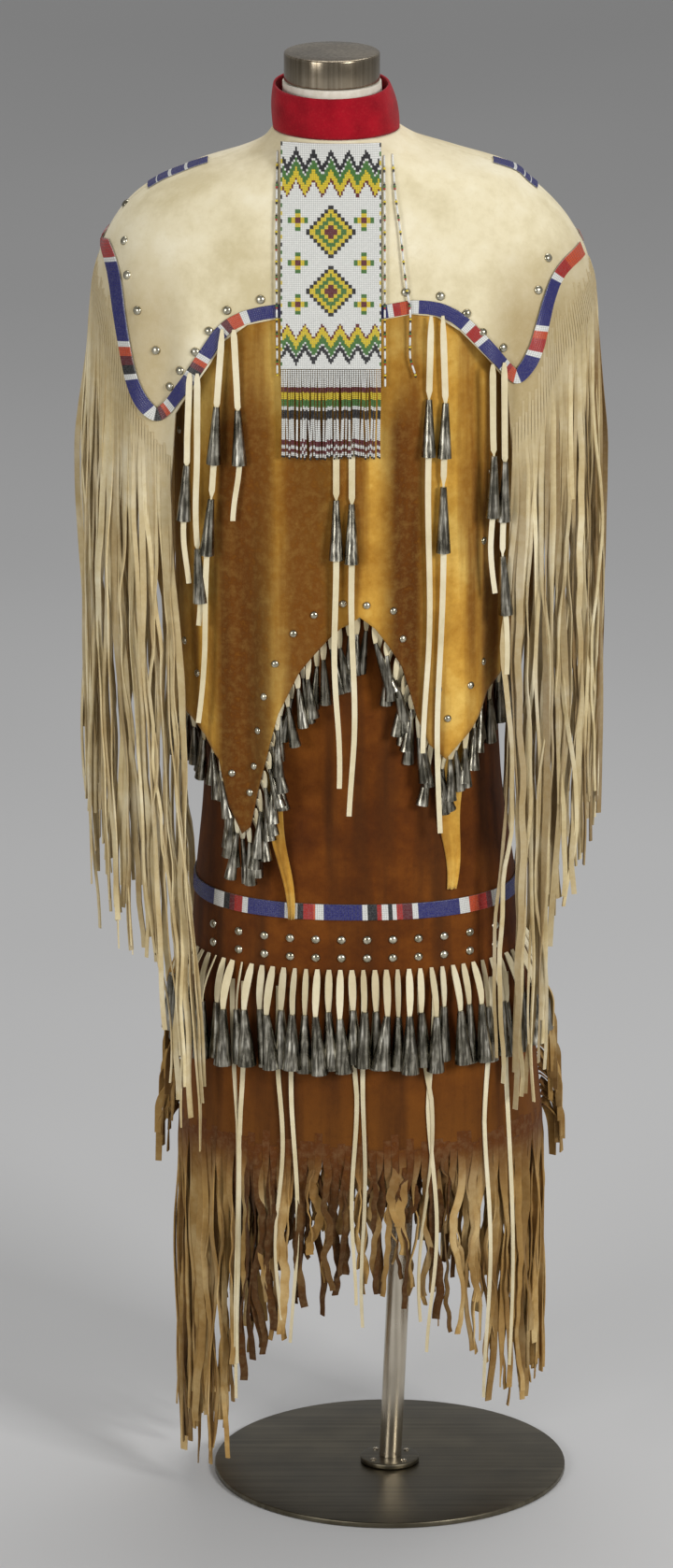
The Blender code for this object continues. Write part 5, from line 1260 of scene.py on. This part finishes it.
# ---------------------------------------------------------------- bead bib
# A loomed panel of white glass beads with zigzags in black, green, yellow and dark red at its top and foot, small
# beads along its edges, and stepped diamonds between. It hangs from the collar over the yoke.
BIB_LEFT, BIB_RIGHT, BIB_BOTTOM, BIB_TOP = -0.1157, -0.0115, 1.264, 1.486
BIB_WRAP, BIB_REST, BIB_HANG, BIB_LIFT = 0.60, 1.318, 0.0035, 0.0032
BIB_ROWS, BIB_COLUMNS = 116, 55
ZIGZAG_HIGH, ZIGZAG_WIDE = 8, 9.6
DIAMOND_ROWS, DIAMOND_REACH = (42, 73), 13
CROSS_ROWS, CROSS_COLUMNS = (36, 58, 80), (9, 45)


def bib_point(x, z, out):
    """A place on the bib: on the yoke's curve flattened by its wrap, then hanging straight below its rest."""
    middle = (BIB_LEFT + BIB_RIGHT) / 2
    above = np.maximum(z, BIB_REST)
    lying = moved(yoke_at, angle_at(YOKE, middle + BIB_WRAP * (x - middle), above, 1), above, out)
    hang = np.clip((BIB_REST - z) / (BIB_REST - BIB_BOTTOM), 0, None)
    lying[..., 1] -= BIB_HANG * hang
    lying[..., 0] = x
    lying[..., 2] = z
    return lying


def on_bib(u, v, out):
    """A place u of the way down the bib and v of the way across it."""
    x, z, out = np.broadcast_arrays(
        BIB_LEFT + (BIB_RIGHT - BIB_LEFT) * np.asarray(v), BIB_TOP + (BIB_BOTTOM - BIB_TOP) * np.asarray(u), out
    )
    return bib_point(x, z, BIB_LIFT + out * 1.5)


row = np.arange(BIB_ROWS)[:, None]
column_number = np.arange(BIB_COLUMNS)[None, :]
chart = np.full((BIB_ROWS, BIB_COLUMNS), "w")
zigzag = ZIGZAG_HIGH * (1 - np.abs((column_number - 8) % ZIGZAG_WIDE / (ZIGZAG_WIDE / 2) - 1))
for from_end in (row - 2 - zigzag, (BIB_ROWS - 1 - row) - 2 - zigzag):
    for low, high, colour in ((0, 3.5, "k"), (4.5, 9, "g"), (9, 13.5, "y"), (13.5, 15, "d")):
        chart[(from_end >= low) & (from_end < high)] = colour
for centre_row in DIAMOND_ROWS:
    steps = (np.abs(row - centre_row) // 2 * 2 + np.abs(column_number - BIB_COLUMNS // 2)) / DIAMOND_REACH
    for limit, colour in ((1.0, "k"), (0.88, "y"), (0.62, "g"), (0.40, "y"), (0.24, "d")):
        chart[steps <= limit] = colour
for centre_row in CROSS_ROWS:
    for centre_column in CROSS_COLUMNS:
        beside, above = np.abs(column_number - centre_column), np.abs(row - centre_row)
        for arm, colour in ((5, "g"), (3, "y"), (1, "d")):
            chart[(np.maximum(beside, above) <= arm) & (np.minimum(beside, above) <= 1)] = colour
for edge_column in (0, BIB_COLUMNS - 1):
    chart[:, edge_column] = np.array(list("kwgwyw"))[np.arange(BIB_ROWS) // 2 % 6]
colours = np.array([[BEAD_COLOURS[letter] for letter in line] for line in chart])
bib = bead_panel("loomed_bib", on_bib, colours, beads, backing=12)
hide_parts("bib_panel")


# ---------------------------------------------------------------- bead fringe and bead strings of the bib
# Strings of the same small beads hang close together from the bib's foot, banded dark red, yellow, green, white and
# black across, and longer strings of white tube beads with yellow and black between hang beside it.
BIB_STRINGS, FRINGE_BEADS, FRINGE_TOP, FRINGE_END = 44, 50, 1.2638, 1.1686
FRINGE_BANDS = [
    Block(0.20, "w"), Block(0.26, "d"), Block(0.34, "y"), Block(0.42, "g"), Block(0.46, "w"), Block(0.56, "k"),
    Block(0.80, "w"), Block(0.86, "d"), Block(0.90, "w"), Block(0.94, "d"), Block(0.97, "w"), Block(1.01, "k"),
]


def bead_strings(name, centre, radius, colours, corners=6):
    """Strings of beads: circles about each place of centre[n, m] with this radius, bead colours by place."""
    run = unit(np.gradient(centre, axis=1))
    first = unit(np.cross(run, np.array([0.0, 1.0, 0.03])))
    second = np.cross(run, first)
    angle = np.linspace(0, 2 * math.pi, corners, endpoint=False)
    rings = (centre[:, :, None] + first[:, :, None] * (radius[..., None] * np.cos(angle))[..., None]
             + second[:, :, None] * (radius[..., None] * np.sin(angle))[..., None])
    piece = tubes(name, rings, beads, smooth=None)
    colour_points(piece, "bead_colour", np.repeat(colours, corners, axis=1).reshape(-1, 4))
    # The narrow places between beads get a low crown, which the glass paints darker: partly thread, partly painted
    # shade.
    crown = np.clip((radius - radius.min()) / (radius.max() - radius.min()), 0, 1)
    mark_points(piece, crown, "crown", corners)
    return piece


rng = np.random.default_rng(140)
x = np.linspace(BIB_LEFT + 0.0015, BIB_RIGHT - 0.0015, BIB_STRINGS)
places = 2 * FRINGE_BEADS + 1
t = np.linspace(0, 1, places)[None, :]
end = FRINGE_END + rng.uniform(-0.0005, 0.004, BIB_STRINGS)
z = FRINGE_TOP + (end[:, None] - FRINGE_TOP) * t
top = bib_point(x, np.full(BIB_STRINGS, 1.2637), 0.0045)
centre = np.stack([x[:, None] + waves(rng, BIB_STRINGS, t, 0.0007, 0.8), top[:, 1, None] - 0.004 * t, z], -1)
radius = np.where(np.arange(places) % 2 == 1, 0.00112, 0.00078)[None, :] + 0 * z
bead_at = (np.arange(places) // 2 + 0.5) / FRINGE_BEADS
colours = np.broadcast_to(block_colours(bead_at, FRINGE_BANDS)[None], (BIB_STRINGS, places, 4))
strings = bead_strings("bib_strings", centre, radius, colours)
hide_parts("bib_fringe")

String = namedtuple("String", "name path")
SIDE_STRINGS = [
    String("bead_string_right_outer", [
        Edge(0.000, 1.474), Edge(0.003, 1.440), Edge(0.008, 1.405), Edge(0.0135, 1.355), Edge(0.0185, 1.318),
        Edge(0.0180, 1.280), Edge(0.024, 1.256)]),
    String("bead_string_right_inner", [
        Edge(-0.0085, 1.474), Edge(-0.0080, 1.400), Edge(-0.0080, 1.318), Edge(-0.0075, 1.254)]),
    String("bead_string_left", [
        Edge(-0.1190, 1.474), Edge(-0.1200, 1.400), Edge(-0.1195, 1.318), Edge(-0.1190, 1.258)]),
]
Strung = namedtuple("Strung", "colour long radius")
STRING_BEADS = [
    Strung("w", 0.0100, 0.0011), Strung("y", 0.0020, 0.0014), Strung("k", 0.0018, 0.0012), Strung("w", 0.0100, 0.0011),
    Strung("k", 0.0018, 0.0012), Strung("g", 0.0020, 0.0014), Strung("r", 0.0018, 0.0012),
]
for string in SIDE_STRINGS:
    path_x, path_z = np.array(string.path).T
    marks, sizes, tints = [], [], []
    run, strung = 0.0, 0
    while run < path_z[0] - path_z[-1]:
        kind = STRING_BEADS[strung % len(STRING_BEADS)]
        for share, size in ((0.04, 0.45), (0.15, 1.0), (0.85, 1.0), (0.96, 0.45)):
            marks.append(run + kind.long * share)
            sizes.append(kind.radius * size)
            tints.append(BEAD_COLOURS[kind.colour])
        run += kind.long
        strung += 1
    z = path_z[0] - np.array(marks)
    x = smooth_column(z, path_z, path_x)
    above = np.maximum(z, BIB_REST)
    lying = moved(yoke_at, angle_at(YOKE, x, above, 1), above, 0.0046)
    y = lying[:, 1] - 0.002 * np.clip((BIB_REST - z) / 0.06, 0, 1)
    centre = np.stack([x, y, z], -1)[None]
    piece = bead_strings(string.name, centre, np.array(sizes)[None], np.array(tints)[None], corners=8)


# ---------------------------------------------------------------- metal spots
# Small domed spots of nickel silver, pressed into the hide along the yoke, round the overlay's edge and in two rows
# under the skirt's bead band.
YOKE_SPOTS = [
    Edge(-0.2827, 1.4055), Edge(-0.2780, 1.3797), Edge(-0.2744, 1.3480), Edge(-0.2630, 1.3141), Edge(-0.2458, 1.2742),
    Edge(-0.2324, 1.2370), Edge(-0.2197, 1.2560), Edge(-0.2031, 1.2775), Edge(-0.1895, 1.3000), Edge(-0.1710, 1.3225),
    Edge(-0.1362, 1.3350), Edge(0.0138, 1.3430), Edge(0.0496, 1.3380), Edge(0.0767, 1.3190), Edge(0.0923, 1.2985),
    Edge(0.1156, 1.2802), Edge(0.1500, 1.3370), Edge(0.1610, 1.3668),
]
OVERLAY_SPOTS = [
    Edge(-0.2215, 1.1790), Edge(0.1232, 1.2050), Edge(0.1032, 1.1429), Edge(0.1014, 1.1098), Edge(0.0948, 1.0705),
    Edge(0.0944, 0.9391), Edge(0.0779, 0.9187), Edge(0.0575, 0.8852), Edge(0.0486, 0.9177), Edge(0.0124, 0.9745),
    Edge(0.0016, 1.0059), Edge(-0.0266, 1.0130), Edge(-0.0510, 1.0140), Edge(-0.0812, 1.0019), Edge(-0.1026, 0.9816),
    Edge(-0.1202, 0.9492), Edge(-0.1320, 0.9126), Edge(-0.1399, 0.8740), Edge(-0.1449, 0.8342), Edge(-0.1664, 0.8240),
    Edge(-0.1499, 0.8045), Edge(-0.2168, 0.9512), Edge(-0.2032, 0.9228),
]
SKIRT_SPOTS = [Edge(x, z) for z in (0.641, 0.621) for x in np.linspace(-0.188, 0.137, 13)]
silver = new_material("nickel_silver", 0.22, metallic=1.0)
tarnish = silver.noise(190.0, 4.0)
silver.fit(
    Base_Color=silver.ramp(tarnish, (0.35, paint(150, 144, 122)), (0.65, paint(214, 208, 188))),
    Roughness=silver.ramp(tarnish, (0.3, grey(0.18)), (0.7, grey(0.34))),
    Normal=silver.bump(tarnish, 0.00006),
)


def spots(name, surface, sections, edges, facing, wide, high):
    """Domes: circles about each place's normal, radius r cos a and height h sin a, with a short skirt below."""
    x, z = np.array(edges).T
    angle = angle_at(sections, x, z, facing)
    base = moved(surface, angle, z, 0.0)
    normal = unit(moved(surface, angle, z, 0.001) - base)
    first = unit(np.cross(normal, np.array([0.0, 0.0, 1.0])))
    second = np.cross(normal, first)
    rise = np.radians([0.0, 0.0, 25.0, 50.0, 70.0, 84.0])
    lift = np.array([-0.0004, 0.0003, *(0.0003 + high * np.sin(rise[2:]))])
    radius = wide * np.cos(rise)
    turn = np.linspace(0, 2 * math.pi, 16, endpoint=False)
    rings = (base[:, None, None] + normal[:, None, None] * lift[None, :, None, None]
             + first[:, None, None] * (radius[:, None] * np.cos(turn))[None, :, :, None]
             + second[:, None, None] * (radius[:, None] * np.sin(turn))[None, :, :, None])
    piece = tubes(name, rings, silver.material, smooth=None)


for label, facing in HALVES:
    spots("yoke_spots_" + label, yoke_at, YOKE, YOKE_SPOTS, facing, 0.0050, 0.0030)
    spots("overlay_spots_" + label, bodice_at, BODICE, OVERLAY_SPOTS, facing, 0.0042, 0.0025)
    spots("skirt_spots_" + label, skirt_at, SKIRT, SKIRT_SPOTS, facing, 0.0048, 0.0028)
